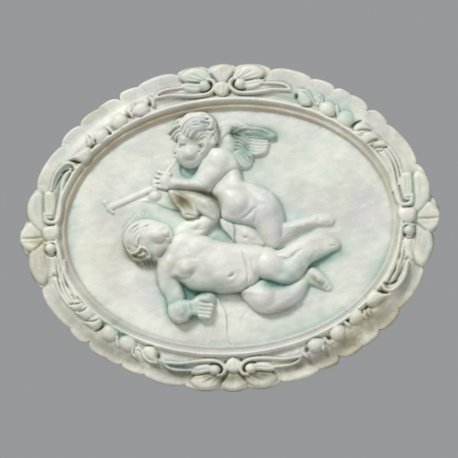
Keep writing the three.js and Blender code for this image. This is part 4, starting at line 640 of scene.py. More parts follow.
UPPER_SHIN = dict(
    outline=[[282, 223], [289, 222.4], [297, 220.8], [305, 218.4], [312, 217.4], [318, 215.2],
        [326, 214.8], [333, 217.2], [336.6, 221.4], [334, 226.2], [326, 228.4], [318, 227.2], [311, 229.2],
        [304, 231.6], [297, 234.2], [290, 238.2], [282, 242]],
    edge=7, foot=-0.4, rise=[[288, 231, 9], [326, 222, 5]], blend=0.6,
    forms=[mass([303, 224.6], [17, 7], -10, 0, 8.6, 3), mass([326, 220.6], [8, 5.6], 4, 0, 6.2, 2)],
    marks=[
        groove([[287.4, 218.6], [288.6, 223.8], [292.4, 224.6], [297.6, 221]], 1.3, 1.8),
        groove([[317, 226], [323, 227.4], [331.4, 226.8]], 1.5, 1.8),
        groove([[318.6, 216.2], [320.2, 219.4], [319.4, 223]], 1.4, 0.8),
    ],
)
UPPER_BODY = dict(
    outline=[[241, 168], [243, 174], [245.6, 181], [254, 183.4], [262, 186.4], [270, 190.6], [277, 196.6],
        [282, 203.6], [285.6, 212], [286.8, 222], [286.4, 231], [284.6, 240], [280.6, 246.4], [275, 249.2],
        [269.4, 246.4], [263.6, 239.6], [258.8, 232], [255.6, 228], [249, 225.6], [240, 223.4],
        [230, 221.2], [223, 217.4], [222, 208], [219, 200], [213, 192.6], [216, 184], [222, 177],
        [228, 170], [235, 164]],
    edge=11.5, foot=0, rise=[[235, 200, 14], [277, 240, 11]], blend=0.7,
    forms=[
        mass([236.5, 201.5], [17.5, 18], 8, 1, 17.5, 6), mass([267, 204], [19, 18], 30, 1, 17, 8),
        soft_limb([268, 214], 16, 2.5, [276, 240], 10, 2, 8), mass([239, 184], [15, 13], 20, 1, 14.5, 7),
    ],
    marks=[
        swell([252.6, 198], [4.6, 9], -24, -2.2),
        groove([[257.6, 206.4], [251.6, 214.4], [243, 219.4]], 2.6, 2.4),
        groove([[257.4, 211], [257, 217.4], [255.6, 224]], 1.5, 2.4),
        groove([[259, 229.6], [264.4, 237.4], [270.4, 243.6]], 2, 1.4), swell([244, 204], [7, 6], 0, 0.9),
    ],
)
UPPER_ARM = dict(
    outline=[[209, 145], [219, 145.6], [228, 148.4], [236, 153.4], [240.6, 161], [241.2, 169],
        [234.5, 172.6], [228, 174.8], [222.4, 180.6], [216.6, 186.6], [212, 192.6], [203, 190.8],
        [192, 189.4], [181, 188.2], [171, 188], [164, 187], [160.5, 180], [164, 174], [172, 174.4],
        [181, 175.8], [189, 177.2], [194.4, 176], [198, 169.6], [199.6, 161], [203, 153]],
    edge=7.5, foot=0.5, rise=[[222, 160, 12.6], [172, 181, 8]], blend=0.6,
    forms=[
        mass([221, 158.5], [15, 12.5], 28, 2, 14, 6), soft_limb([218, 166], 11.5, 3, [207, 181], 9, 4, 6),
        soft_limb([204, 183.4], 7, 5.6, [177, 181.4], 5, 5.4, 5),
    ],
    marks=[
        swell([222, 157], [9, 8], 0, 1), groove([[195.6, 177.6], [202, 180.4], [206, 186.6]], 1.7, 1),
        groove([[241.4, 168.6], [234, 171.6], [227.6, 174.4]], 1.8, 1.4),
        groove([[214, 165], [208, 172], [205.6, 178.4]], 2.6, 0.5),
    ],
)
UPPER_HAND = dict(
    blend=0.5,
    forms=[
        dome([167.4, 180], [7.4, 8.2], 0, 3.6, 5, 1.5),
        *fan(4, limb, [[170.6, 173.4], 2.1, 6, [159.4, 170.6], 1.5, 3.2, 0.4], [[167.5, 186], 2.1, 5.6,
            [155.4, 184.2], 1.7, 3.8, 0.4]),
        limb([156.6, 189.6], 1.9, 3.4, [155.4, 180.6], 1.7, 3.8, 0.4),
    ],

)
UPPER_HEAD = dict(
    outline=[[178, 128.4], [177.4, 134.6], [178.8, 139.8], [177.6, 143], [175.8, 146.8], [174.8, 150.4],
        [176.8, 152.4], [175.4, 155], [177.6, 157.6], [179.4, 161.4], [184, 165.8], [191, 167.8],
        [198, 166.6], [203.6, 162.4], [208.6, 156], [214, 148], [218, 138], [218, 127], [214, 118],
        [206, 112.6], [195, 111.8], [186, 115.6], [180.6, 121.4]],
    edge=7.5, foot=1, rise=[[184, 150, 12.6], [205, 135, 15.6]], blend=0.7,
    forms=[
        mass([191.6, 151.6], [10.8, 9.6], 6, 5, 13.8, 4), mass([198, 127], [18, 15], -10, 4, 14.6, 4),
        mass([185, 137.8], [7.4, 3.8], 18, 6, 9.4, 3), dome([177.6, 149.6], [3, 3.8], 14, 5, 6, 2),
        dome([178.4, 155.6], [2.9, 2.2], 0, 5.8, 4.4, 1.2), mass([184, 160.6], [5, 4.4], 0, 4, 7, 3),
        leaf([[199.4, 143], [207.4, 141.4], [205.6, 149], [201, 152.2]], 3.4, [15.6, 14.6], 3.4, 0.6, 0.4,
            0.4),
    ],
    marks=[
        swell([182.4, 144.6], [4.2, 2.3], 10, -4.2),
        groove([[179.6, 140.6], [181.6, 143.4], [182.4, 147]], 1.5, 2.6),
        groove([[181.6, 143.6], [184.6, 144.6], [188.4, 143.8]], 1.3, 2.6),
        groove([[182.6, 146.8], [185, 147.6], [187.6, 146.6]], 0.9, 0.8),
        swell([176.8, 152], [1.2, 0.9], 30, -2.4),
        groove([[175.8, 155], [178.6, 155.8], [181.6, 154.8]], 1.1, 2.2),
        groove([[177, 158.2], [179.4, 158.6], [182, 157.8]], 1, 1.2),
        groove([[206.6, 144.6], [205, 149], [200.8, 151.6]], 1.5, 3),
        swell([202.4, 146.8], [1.4, 2.2], 14, -1.8), swell([201.2, 151.4], [1.6, 1.2], -20, -2.6),
        groove([[184, 158], [190, 160], [196, 158]], 3.4, 0.5),
    ],
)
UPPER_HAIR = dict(
    outline=[[178, 128], [179.6, 121], [185, 115.4], [191, 112], [198, 111.4], [206, 111.4],
        [213.4, 115.2], [217.6, 120.8], [218.4, 127], [219.4, 132], [219.8, 137], [218, 142],
        [214.6, 145.6], [209.4, 145], [206.4, 141.4], [203.4, 142], [199.6, 141.6], [195.4, 140.6],
        [190, 138.4], [184.6, 135.6], [180.4, 132]],
    edge=2.6, foot=5, rise=[[182, 128, 6], [206, 128, 10]], blend=0.4,
    forms=[
        mass([200, 124.6], [18, 13], -8, 6, 15, 4),
        *fan(5, leaf, [[[206, 113], [193, 112.4], [184, 117], [178.6, 126.6]], 2.5, [14, 11], 3.6, 0.9,
            0.55, 0.3], [[[203.4, 124.6], [199, 128.6], [194, 132.6], [190.6, 138.6]], 2.3, [17.6, 14.8],
            3.6, 0.9, 0.55, 0.3]),
        *fan(3, leaf, [[[205, 112.6], [213.6, 114.4], [218, 122], [215.6, 129]], 2.4, [15.4, 13], 3.4,
            -0.9, 0.5, 0.3], [[[207.4, 121], [212, 121.4], [213, 125.6], [209.4, 128.4]], 1.9,
            [18.4, 18.4], 2.8, -0.9, 0.5, 0.3]),
        *fan(3, leaf, [[[218, 128.4], [213, 132], [204, 131.6], [199.6, 137.6]], 2.1, [14.6, 15.4], 3.6,
            0.9, 0.6, 0.3], [[[214, 134.6], [209.6, 137], [205.4, 139.4], [202, 142]], 1.9, [14.6, 14.4],
            3.2, 0.9, 0.6, 0.3]),
        leaf([[193.6, 133.6], [192, 138.6], [197.4, 141.4], [200.6, 139]], 1.7, [15.6, 14.6], 3, 0.6, 0.5,
            0.3),
        *fan(4, leaf, [[[210.4, 134.6], [206.6, 139], [209, 144.4]], 1.9, [14.6, 11.6], 3.6, 0.7, 0.6,
            0.3], [[[216.6, 129.6], [221, 134.6], [217.6, 141.6]], 1.9, [11, 6.6], 3.6, 0.7, 0.6, 0.3]),
    ],
    marks=[
        groove([[202.4, 120.8], [205.6, 123], [209, 121.8]], 1.5, 3),
        groove([[193, 122.4], [196.4, 120.6], [199.8, 121.2]], 1.4, 2.2),
        groove([[193, 125], [197, 123.8], [201.6, 124.8]], 1.3, 2),
        groove([[205, 117], [208, 117.6], [210, 120]], 1.2, 1.6),
        groove([[215.6, 121], [216.6, 126.6], [212, 129.6]], 1.3, 1.8),
        groove([[200.4, 131.6], [204.6, 129.8], [209.6, 131.4]], 1.6, 3.4),
        groove([[203, 135.6], [206.6, 134.2], [210, 133]], 1.1, 1.6),
        groove([[202.4, 139.4], [205.6, 137.4], [209.4, 137.4]], 1.4, 2.8),
        swell([191.2, 137.4], [1.5, 1.2], 0, -2.6), swell([195.8, 138.4], [1.9, 1.5], -30, -4),
        groove([[194, 143.6], [198, 142], [201.8, 143.6]], 1.5, 3),
        swell([201.4, 142.6], [1.4, 1.7], 0, -3), swell([209.9, 135], [1.6, 1.3], 30, -3.6),
        groove([[218.2, 134.6], [217.8, 137.6], [216.6, 140.4]], 1.5, 3),
        groove([[210.6, 142], [212, 144.2], [215.4, 145.4]], 1.3, 2.4),
        swell([214.8, 134.4], [1.2, 1], 0, -2),
    ],
)

UPPER_TUFTS = dict(
    blend=0.4,
    forms=[
        leaf([[183, 123.6], [176, 123.6], [169, 131.4]], 2.1, [12, 1.6], 3.8, 0.8, 0.45, 0.3),
        leaf([[183, 128.6], [176.6, 129], [172.4, 136.2]], 1.9, [12, 1.6], 3.8, 0.8, 0.45, 0.3),
        leaf([[182, 132.6], [178, 132.6], [175.6, 138.4]], 1.6, [11, 3], 3.6, 0.6, 0.45, 0.3),
        leaf([[184, 118.6], [179.4, 118.4], [176, 122.6]], 1.6, [11, 2.4], 3.2, 0.6, 0.45, 0.3),
    ],

)

# Lower cherub, who lies back on one elbow and lifts the other arm
LIFTED_ARM = dict(
    outline=[[180, 224], [188, 218.8], [198, 216.4], [206, 213], [214, 211], [221.4, 214], [220.4, 221],
        [213.6, 226.4], [207, 233.4], [200, 240], [188, 242], [178, 238], [175, 231]],
    edge=7.5, foot=-0.6, rise=[[188, 231, 8.6], [214, 216, 9.6]], blend=0.6,
    forms=[mass([197, 224], [9, 6], -28, 0, 10.4, 3)],
    marks=[groove([[196.4, 229.6], [203, 230.4], [208.6, 227.4]], 2.6, 1)],
)
LIFTED_FOREARM = dict(
    outline=[[172, 188.6], [180, 188.8], [190, 189.6], [200, 191.8], [208, 194.8], [214.6, 198.2],
        [219.6, 203.6], [221.8, 210], [220.8, 217.6], [216.6, 221.2], [210, 219.2], [203.6, 214.6],
        [197, 211], [188, 205], [178, 197]],
    edge=7, foot=0.5, rise=[[184, 195, 9], [211, 207, 14]], blend=0.6,
    forms=[soft_limb([196, 196.6], 7, 6, [212, 206], 9.4, 5.6, 4)],
    marks=[
        groove([[201.4, 212.6], [207, 214.8], [213.4, 219.6]], 1.4, 2),
        swell([205, 207], [8, 3], 24, -1.6),
    ],
)
LIFTED_HAND = dict(
    outline=[[169.8, 189.4], [176, 189.6], [184, 193.6], [191, 198.2], [196, 202.8], [198.6, 208.6],
        [200.4, 213.6], [196, 217], [189, 217.6], [184, 215.4], [181.6, 210], [177.2, 204.8],
        [172.8, 198]],
    edge=2.4, foot=3, rise=[[175, 192, 8.6], [194, 212, 9]], blend=0.5,
    forms=[
        cord([[173.4, 189], [182.5, 192.6], [190, 197.6], [195.2, 202.6], [196.8, 208], [199.6, 213]], 1.4,
            1.4, 11, 3.4, 0.5),
        cord([[171, 191.4], [175, 199.6], [180, 206], [184, 212]], 1.2, 1.4, 8, 1.8, 0.8),
        cord([[184.6, 208.6], [190, 210.6], [195.4, 211]], 1.9, 1.5, 8, 2.6, 0.8),
    ],
    marks=[
        swell([184, 201.4], [8.6, 4.2], 42, -5),
        groove([[186, 213.4], [192, 214.6], [199.4, 215.8]], 1.3, 2.6),
        groove([[197.8, 203.6], [198.8, 208], [200, 211.6]], 1.1, 1.6),
        groove([[174.4, 192.6], [181.6, 196.6], [189, 202.6]], 1.2, 1),
    ],
)
SASH = dict(
    outline=[[221.4, 218.4], [229, 221.2], [234.4, 223.4], [236.8, 228.4], [236.2, 234], [235.8, 241],
        [231, 235.6], [226.8, 231.2], [223.4, 226.8]],
    edge=1.2, foot=3, rise=[[230, 228, 6.4], [235, 240, 4.6]], blend=0.3,


)
LOWER_BODY = dict(
    outline=[[165, 250], [170, 241], [178, 233], [188, 231], [198, 234.4], [207, 235], [216, 238.4],
        [226, 241.4], [238, 243.4], [250, 244.4], [262, 246], [270, 252], [268, 266], [262, 278],
        [256.6, 285], [249, 287.8], [243, 291.6], [232, 293.4], [222, 293.4], [214, 292], [206, 292.4],
        [198, 291], [190, 288.4], [184.6, 284], [178, 281], [170, 282], [163, 278], [158.6, 270],
        [159.4, 260]],
    edge=11, foot=0.4, rise=[[182, 258, 13.6], [230, 268, 17]], blend=0.5,
    forms=[
        mass([224, 268], [24, 21], 10, 1, 20.6, 8), soft_limb([190, 256], 15, 2, [212, 263], 18, 2, 8),
        mass([197.5, 248], [12, 10], 10, 2, 15.2, 5), mass([187, 265.4], [12.6, 11.4], 20, 2, 17.2, 5),
        mass([168.5, 262], [12, 11.5], 0, 1, 14.6, 6), mass([253.5, 268], [9, 18], -6, 1, 15, 4),
    ],
    marks=[
        groove([[244.4, 247.6], [246.2, 258], [248.9, 267], [250, 277], [247.6, 286]], 2.2, 2.4),
        groove([[252.4, 259], [254.6, 269], [258.2, 276.4], [256, 284]], 1.8, 2.2),
        swell([233.4, 274.8], [2.7, 1.5], -35, -4), swell([233.4, 279.6], [4, 2], -10, 0.8),
        groove([[197.6, 265.6], [196.6, 272], [190.4, 277.2], [182, 278.6], [176, 276]], 2.8, 1.3),
        groove([[189, 255], [196, 259.6], [202.4, 255.6]], 3, 0.9),
        groove([[204, 262], [210, 268.6], [208.6, 277]], 4, 0.7), swell([221, 259], [14, 9], 10, 0.2),
    ],
)
LOWER_NEAR_LEG = dict(
    outline=[[254, 250], [262, 247.4], [272, 248], [280, 250.4], [288, 247], [296, 242.4], [304, 238.6],
        [313, 235.8], [322, 235.2], [331, 237], [338.4, 240.4], [342, 245], [340, 249.6], [331, 254.6],
        [321, 260.2], [312.8, 264.4], [309, 270], [304.6, 276.6], [298, 281.8], [290, 285.4], [281, 285.8],
        [273, 283], [265, 279.8], [258.6, 276.2], [254.8, 270], [252.4, 261]],
    edge=9.5, foot=0.8, rise=[[275, 265, 15.6], [332, 245, 5.6]], blend=0.5,
    forms=[
        mass([271, 266.6], [19, 16.4], 8, 2, 18.4, 6), mass([293, 267.4], [14, 14], -20, 2, 16, 5),
        soft_limb([301, 256], 11, 1, [320, 247.6], 7.4, 0.4, 5),
        mass([334, 243.2], [8, 5.6], -10, 0, 6.4, 3),
    ],
    marks=[
        groove([[275.6, 250.4], [279.6, 256.4], [285.6, 259.6], [291.4, 258.8], [297, 254], [304, 249.6]],
            2.6, 2.4),
        groove([[290.4, 259.6], [291.6, 264], [290.6, 268]], 2, 0.7),
        groove([[311, 262.6], [315.4, 257.4], [316.4, 250.6]], 2.4, 0.8),
        groove([[330.4, 246.2], [333.4, 247.4], [337, 246.2]], 1.2, 1),
        swell([324, 246], [3.2, 5], 20, -0.9),
    ],
)
LOWER_FOOT = dict(
    outline=[[306, 275.6], [309, 270], [313.6, 267.6], [318.4, 269], [323, 273], [327.4, 278],
        [331.4, 283.4], [333.6, 288], [331.8, 291.6], [326.8, 292], [321, 289.6], [315.6, 287], [311, 285],
        [308, 282]],
    edge=4, foot=-0.4, rise=[[312, 275, 8.4], [330, 289, 5]], blend=0.5,
    forms=[mass([319, 278], [10.6, 5.6], 44, 1, 8.4, 3)],
    marks=[
        groove([[326, 281.6], [325, 285.6], [322.6, 288.6]], 1.6, 1),
        groove([[327, 290], [329, 288.4], [330.6, 285.8]], 1, 1.2),
    ],
)
LOWER_UNDER_LEG = dict(
    outline=[[241.6, 291.6], [248, 286.6], [256, 282], [264, 279], [275, 282], [286, 284], [296, 280.6],
        [303, 275], [309, 273], [312.4, 277.4], [311, 284], [307, 291.4], [303.4, 297.6], [298, 303.2],
        [290, 308.4], [281, 312.2], [272, 314], [263, 313], [255.6, 309.6], [249.6, 304], [244.4, 297.8]],
    edge=9, foot=0.8, rise=[[262, 297, 14.6], [308, 280, 8]], blend=0.5,
    forms=[
        mass([263.5, 296.5], [17.5, 15], 0, 2, 17, 6), soft_limb([284, 297], 12.4, 2, [303, 285], 8, 1, 6),
    ],
    marks=[
        groove([[263, 286], [259.6, 291], [260.6, 297]], 2.4, 0.6),
        groove([[268.6, 284.6], [266, 289], [266.6, 294]], 2.4, 0.5),
    ],
)
DRAPE = dict(
    outline=[[199.4, 315.6], [208, 304], [217.6, 295.6], [223, 303.6], [227.2, 311.6], [228.6, 321],
        [228.8, 332], [232.4, 339.4], [238, 347], [222, 347.6], [207.6, 347], [208.6, 337], [206.8, 328.8],
        [203.4, 322]],
    edge=2, foot=0, rise=[[214, 310, 3.8], [222, 344, 2.4]], blend=0.4,
    forms=[
        cord([[217.6, 297], [223, 304.6], [226.6, 312], [227.8, 322], [227.8, 332.6], [231.6, 339.6],
            [236.6, 346]], 1.1, 1.3, 2.4, 2.4, 0.6),
    ],
    marks=[
        swell([222, 343.4], [11, 3.4], 0, -1.6),
        groove([[200, 317.6], [204.4, 323.4], [207.4, 329.6], [208.4, 337]], 1.6, 1.8),
        groove([[213, 318], [215.4, 328], [214.6, 338]], 3.4, 0.6),
    ],
)
LOWER_NEAR_ARM = dict(
    outline=[[160, 257], [168, 255], [174, 260], [177.4, 268], [178.6, 275], [181.4, 281.6], [185, 288.4],
        [187.2, 295.6], [186, 303], [179, 308], [170.6, 307.4], [167.2, 297.6], [162.8, 291.2],
        [160, 283.8], [158.4, 275], [158, 266]],
    edge=8.5, foot=0.6, rise=[[170, 268, 13.2], [178, 296, 11.4]], blend=1.2,
    forms=[mass([169.6, 264.6], [11, 12], 10, 1, 15, 5)],
    marks=[
        swell([179.4, 290.6], [4.8, 4.8], 0, 1.4),
        groove([[180, 283.6], [176.4, 287.4], [173.2, 292.6]], 3, 0.5),
    ],
)
LOWER_ELBOW = dict(
    outline=[[169.4, 305], [174, 300.8], [181.4, 297.8], [189, 298.6], [193.6, 298.4], [198.4, 295],
        [204, 291.6], [212, 290.8], [217.6, 295], [216.4, 302], [214.8, 309], [213, 316.4], [206, 319],
        [200.6, 317.6], [196.4, 314.6], [192.4, 316.4], [190, 319.8], [184, 322.4], [177.6, 322.2],
        [172.6, 318.4], [169.8, 312.8]],
    edge=5, foot=1.6, rise=[[180, 310, 14], [208, 305, 10.6]], blend=0.6,
    forms=[
        mass([181, 310], [12, 11.6], 0, 3, 15.4, 2.4), mass([207, 297.4], [10, 6.2], 6, 3, 12.8, 3),
        dome([211.4, 294.4], [3.6, 2.6], 10, 9, 5.6, 1.2),
        soft_limb([190, 304], 7.6, 5, [199, 303], 7, 5, 3),
    ],
    marks=[
        groove([[193, 296], [192, 304], [195.6, 312.6]], 2.4, 2.2), swell([196, 317.4], [3.6, 2], 0, -4),
        groove([[202.6, 300.6], [209, 301], [215.6, 302]], 1.4, 1.6),
    ],
)
LOWER_FIST = dict(
    blend=0.4,
    forms=[
        *fan(4, limb, [[202.4, 303.6], 1.6, 13.6, [213.8, 304.8], 1.6, 12, 0.2], [[201.8, 315], 1.5, 12.4,
            [210.8, 316], 1.5, 10.6, 0.2]),
    ],

)
LOWER_HEAD = dict(
    outline=[[147, 217.8], [155, 218.6], [161, 221], [168, 223.4], [172.6, 227.4], [175.8, 233],
        [176.6, 240], [174, 246], [171, 252], [166, 257], [160, 261.4], [152, 260], [142, 260.6],
        [133, 256], [128.6, 248], [124.8, 240], [126.4, 231], [131.6, 224], [138.4, 219.4]],
    edge=8, foot=0.8, rise=[[163, 254, 7.4], [160, 233, 13.6]], blend=0.7,
    forms=[
        mass([158.6, 232.4], [13, 10.6], -6, 3, 16.6, 5), mass([145, 235], [15, 15], 4, 2, 11.4, 5),
        mass([162, 247.6], [11, 8.6], -24, 3, 8.6, 5), dome([167, 231.4], [3.6, 3], 30, 14, 4.6, 2),
        dome([163.6, 226], [3.8, 1.9], -10, 11.6, 5.4, 1.2),
        dome([148.6, 222.4], [3.6, 2], -6, 11.4, 4.4, 1.6), dome([169.6, 237.4], [3, 2], 30, 11.4, 3.6, 2),
        cord([[170.6, 226], [174.6, 232.4], [175.2, 240], [172.4, 247.4]], 1.3, 1.5, 6.6, 4.4, 0.8),
    ],
    marks=[
        groove([[145.6, 225.8], [148, 224.8], [150.4, 224.6]], 1.3, 1.8),
        groove([[159, 221.6], [162.6, 223.6], [167.4, 223.6]], 1.2, 2),
        groove([[159.6, 229], [164, 228.6], [169, 229.4]], 1.3, 1.6),
        swell([168.8, 234.8], [1.6, 1.1], -30, -1.4),
        groove([[165.6, 236], [168.6, 237.4], [171.6, 235.6]], 1.1, 1.6),
        swell([171.6, 241.4], [2, 3], 30, -2),
        groove([[168, 248.6], [166.6, 253.6], [159.6, 257]], 1.5, 1.8),
        groove([[150.4, 240.2], [156, 242.4], [163, 242.6]], 4, 0.4),
    ],
)
LOWER_HAIR = dict(
    outline=[[144.6, 218.2], [138, 219.4], [130.4, 223.8], [125.6, 230.6], [123.8, 239], [126, 246.6],
        [128.8, 252.6], [132.4, 257.4], [137, 260.4], [143, 260.6], [149, 259.4], [153.6, 257],
        [153.4, 252.6], [150.4, 247.4], [146, 244], [142.4, 240], [143.4, 235], [140.8, 231],
        [142.6, 226.6], [140.6, 222.4]],
    edge=2.6, foot=1.6, rise=[[126, 238, 8], [143, 236, 11]], blend=0.4,
    forms=[
        mass([136, 237.6], [14, 17], 16, 4, 8, 4),
        *fan(5, leaf, [[[141, 219.6], [133, 221], [127, 228.6], [126.8, 240]], 2.2, [10.8, 8.4], 3.8, 0.9,
            0.55, 0.3], [[[143.4, 230], [141, 235], [138.4, 239.6], [138.6, 245.6]], 1.9, [13.4, 12.2],
            3.8, 0.9, 0.55, 0.3]),
        leaf([[128.6, 248], [133.6, 252.4], [139.6, 249.6], [141.6, 244]], 1.9, [9.6, 13], 4.2, 0.4, 0.5,
            0.3),
        leaf([[142.6, 246], [147.4, 247.2], [151, 250.8], [152, 255]], 1.9, [13, 10.6], 4.2, 0.6, 0.5,
            0.3),
        leaf([[138.6, 253.6], [142.6, 254.6], [146.6, 252.6]], 1.6, [11.6, 13], 3.8, 0.4, 0.5, 0.3),
        *fan(3, leaf, [[[126.4, 242.6], [128, 249.4], [132.6, 253.6]], 1.8, [7.4, 9], 3, 0.7, 0.5, 0.3],
            [[[130.6, 255.2], [137, 258.6], [145, 256.6]], 1.9, [7, 10.6], 3, 0.7, 0.5, 0.3]),
    ],
    marks=[
        groove([[133.6, 230], [132.4, 236], [133.4, 243]], 1.1, 1.4),
        groove([[138.6, 229.6], [135.4, 236], [135.8, 243.6]], 1.1, 1.6),
        groove([[128.8, 229], [127.6, 235.6], [129.4, 243.6]], 1, 1.2),
        groove([[136.6, 247.4], [139.2, 246.4], [140.4, 243.8]], 1.4, 2.8),
        swell([142.2, 249.8], [2.2, 1.1], -35, -3.4), swell([146.6, 250.2], [1.8, 1], 40, -3),
        swell([135.6, 254.6], [2.2, 1], 25, -3), swell([130, 248.8], [1.8, 2.4], -30, -3),
        swell([140.6, 257.6], [2.6, 1], 5, -2.6), swell([149.6, 253.6], [1.2, 1.8], -20, -2.6),
    ],
)
LOWER_LOCKS = dict(
    blend=0.3,
    forms=[
        leaf([[138.6, 257], [141.6, 259.6], [142.4, 264.6]], 1.4, [7.4, 1.6], 3.4, 0.5, 0.35, 0.2),
        leaf([[141.4, 256.6], [145.2, 260], [145.6, 267.2]], 1.4, [8, 1.4], 3.6, 0.5, 0.35, 0.2),
        leaf([[145, 256], [148.6, 260.4], [148.8, 266.4]], 1.4, [8.4, 1.4], 3.6, 0.5, 0.35, 0.2),
        leaf([[148.4, 255.4], [151.8, 259.6], [152.2, 265.8]], 1.3, [8.4, 1.4], 3.4, 0.5, 0.35, 0.2),
        leaf([[151, 253.6], [154.4, 257.4], [155.4, 262.4]], 1.1, [8, 1.6], 3, 0.5, 0.35, 0.2),
    ],

)

FIGURES = [
    UPPER_WING, UPPER_FAR_KNEE, UPPER_FAR_SHOULDER, TRUMPET, UPPER_FAR_ARM, UPPER_SHIN, UPPER_BODY,
    UPPER_ARM, UPPER_HAND, UPPER_HEAD, UPPER_HAIR, UPPER_TUFTS, LIFTED_ARM, LIFTED_FOREARM, LIFTED_HAND,
    SASH, LOWER_BODY, LOWER_FOOT, LOWER_UNDER_LEG, LOWER_NEAR_LEG, DRAPE, LOWER_NEAR_ARM, LOWER_ELBOW,
    LOWER_FIST, LOWER_HEAD, LOWER_HAIR, LOWER_LOCKS,
]
# Soft rise of the ground under the lower cherub, with the lines drawn in it and beside the head
GROUND = [
    swell([200, 335], [90, 22], 0, 1.4), swell([320, 300], [60, 30], -20, 1.0),
    swell([268, 322], [24, 9], 0, 1.0),
    groove([[251.6, 309.6], [245.6, 315], [243, 321.4], [244, 329]], 1.2, 0.8),
    groove([[290, 308.6], [297.6, 309], [303.4, 313.4]], 1.1, 0.7),
    *fan(4, groove, [[[133.8, 218], [134, 212.6], [137.4, 210.6]], 1, 0.9], [[[145, 216], [145.4, 210.6],
        [148.6, 207.6]], 1, 0.9]),
    *fan(4, groove, [[[122, 229], [124.6, 225.6], [126.6, 222.6]], 0.9, 0.6], [[[128, 221.6],
        [130.6, 217.6], [132.4, 212.6]], 0.9, 0.6]),
    groove([[181.6, 161], [182.2, 169.6], [185, 175], [191, 176.8], [195.2, 173.2], [197.6, 166]], 1, 0.8),
]

# Slow waves of the hand-worked surface: direction, length and height, in degrees and millimetres
WAVES = [
    [12, 41, 0.16], [71, 33, 0.14], [128, 27, 0.12], [160, 19, 0.09], [38, 13, 0.06], [101, 9, 0.05],
]
SWAY = 1.6
SWAY_LENGTH = 1.7


def half_turned(x, y):
    """Below the two ends the frame is its upper half turned half round."""
    return 2 * SHEET_CENTRE[0] - x, 2 * SHEET_CENTRE[1] - y


def mirrored(x, y):
    """Mirror image across the upright axis of the top ornament."""
    axis = (sin(SHEET_TILT), cos(SHEET_TILT))
    (cx, cy) = TOP_ORNAMENT_AXIS
    dx, dy = x - cx, y - cy
    along = dx * axis[0] + dy * axis[1]
    return cx + 2 * along * axis[0] - dx, cy + 2 * along * axis[1] - dy


def ornament_height(x, y):
    """Height of the frame's ornament above the band."""
    turned = half_turned(x, y)
    heights = [
        height_of(ORNAMENT, [], x, y),
        height_of(ORNAMENT, [], *turned),
        height_of(TOP_SCROLL, [], *mirrored(x, y)),
        height_of(TOP_SCROLL, [], *mirrored(*turned)),
        height_of(LEFT_ORNAMENT, [], x, y),
        height_of(LEFT_ORNAMENT, [], *mirrored(x, y)),
    ]
    return np.max(heights, axis=0)


def mark_ornament(height, x, y):
    """Lines and pockets cut into the frame."""
    turned = half_turned(x, y)
    add_marks(height, ORNAMENT_MARKS, x, y)
    add_marks(height, ORNAMENT_MARKS, *turned)
    add_marks(height, TOP_SCROLL_MARKS, *mirrored(x, y))
    add_marks(height, TOP_SCROLL_MARKS, *mirrored(*turned))
    add_marks(height, LEFT_ORNAMENT_MARKS, x, y)
    add_marks(height, LEFT_ORNAMENT_MARKS, *mirrored(x, y))


def unevenness(x, y):
    """Slight waves of the hand-worked surface, broken up by one another."""
    total = np.zeros(x.shape)
    for turn, length, rise in WAVES:
        c, s = cos(radians(turn)), sin(radians(turn))
        sway = np.sin((y * c - x * s) * 2 * pi / (length * SWAY_LENGTH) + turn)
        total += rise * np.sin((x * c + y * s) * 2 * pi / length + SWAY * sway)
    return total


def front_height(u, v):
    """Height of the front above the back, at points of the level plaque at its drawn size."""
    x, y = to_sheet(u, v)
    angle = np.arctan2(v, u)
    inside = oval_radius(angle) - np.hypot(u, v)
    offset, arch = rim_at(np.degrees(angle))
    places, rises = zip(*FRAME_SECTION)
    height = FIELD_THICKNESS + np.interp(inside, places, rises)
    height += LOBE_BULGE * (arch - LOBE_MIDDLE) * np.clip(1 - inside / BULGE_REACH, 0, 1)
    height -= EDGE_ROLL * np.clip(1 - (inside + offset) / ROLL_REACH, 0, 1) ** 2
    add_marks(height, RIM_CREASES, x, y)
    height = smooth_max(height, FIELD_THICKNESS + BAND_RISE + ornament_height(x, y), ORNAMENT_BLEND)
    mark_ornament(height, x, y)
    add_marks(height, GROUND, x, y)
    for figure in FIGURES:
        raised = FIELD_THICKNESS + figure_height(figure, x, y) * (FIGURE_RELIEF / DRAWN_FIGURE_RELIEF)
        height = smooth_max(height, raised, figure["blend"])
    return height + unevenness(x, y)


# The grid's rings take up the rim's lobes only near the rim
RIM_PULL = 6

def lay_out():
    """A square grid laid out as rings of the scalloped oval, at the drawn size."""
    steps = np.linspace(-1, 1, GRID + 1)
    a, b = np.meshgrid(steps, steps)
    wide = np.abs(a) > np.abs(b)
    ring = np.maximum(np.abs(a), np.abs(b))
    with np.errstate(divide="ignore", invalid="ignore"):
        turn = np.where(wide, pi / 4 * (b / a), pi / 2 - pi / 4 * (a / b))
    turn = np.nan_to_num(turn)
    signed = np.where(wide, a, b)
    u = signed * np.cos(turn) * DRAWN_LENGTH / 2
    v = signed * np.sin(turn) * DRAWN_HEIGHT / 2
    angle = np.arctan2(v, u)
    offset, _ = rim_at(np.degrees(angle))
    swing = 1 + offset / oval_radius(angle) * ring ** RIM_PULL
    return u * swing, v * swing


def blurred(values, passes, reach=1):
    """Mean with the neighbours, a few times over."""
    size = 2 * reach + 1
    for _ in range(passes):
        padded = np.pad(values, reach, mode="edge")
        rows = sum(padded[k:k + values.shape[0], :] for k in range(size)) / size
        values = sum(rows[:, k:k + values.shape[1]] for k in range(size)) / size
    return values


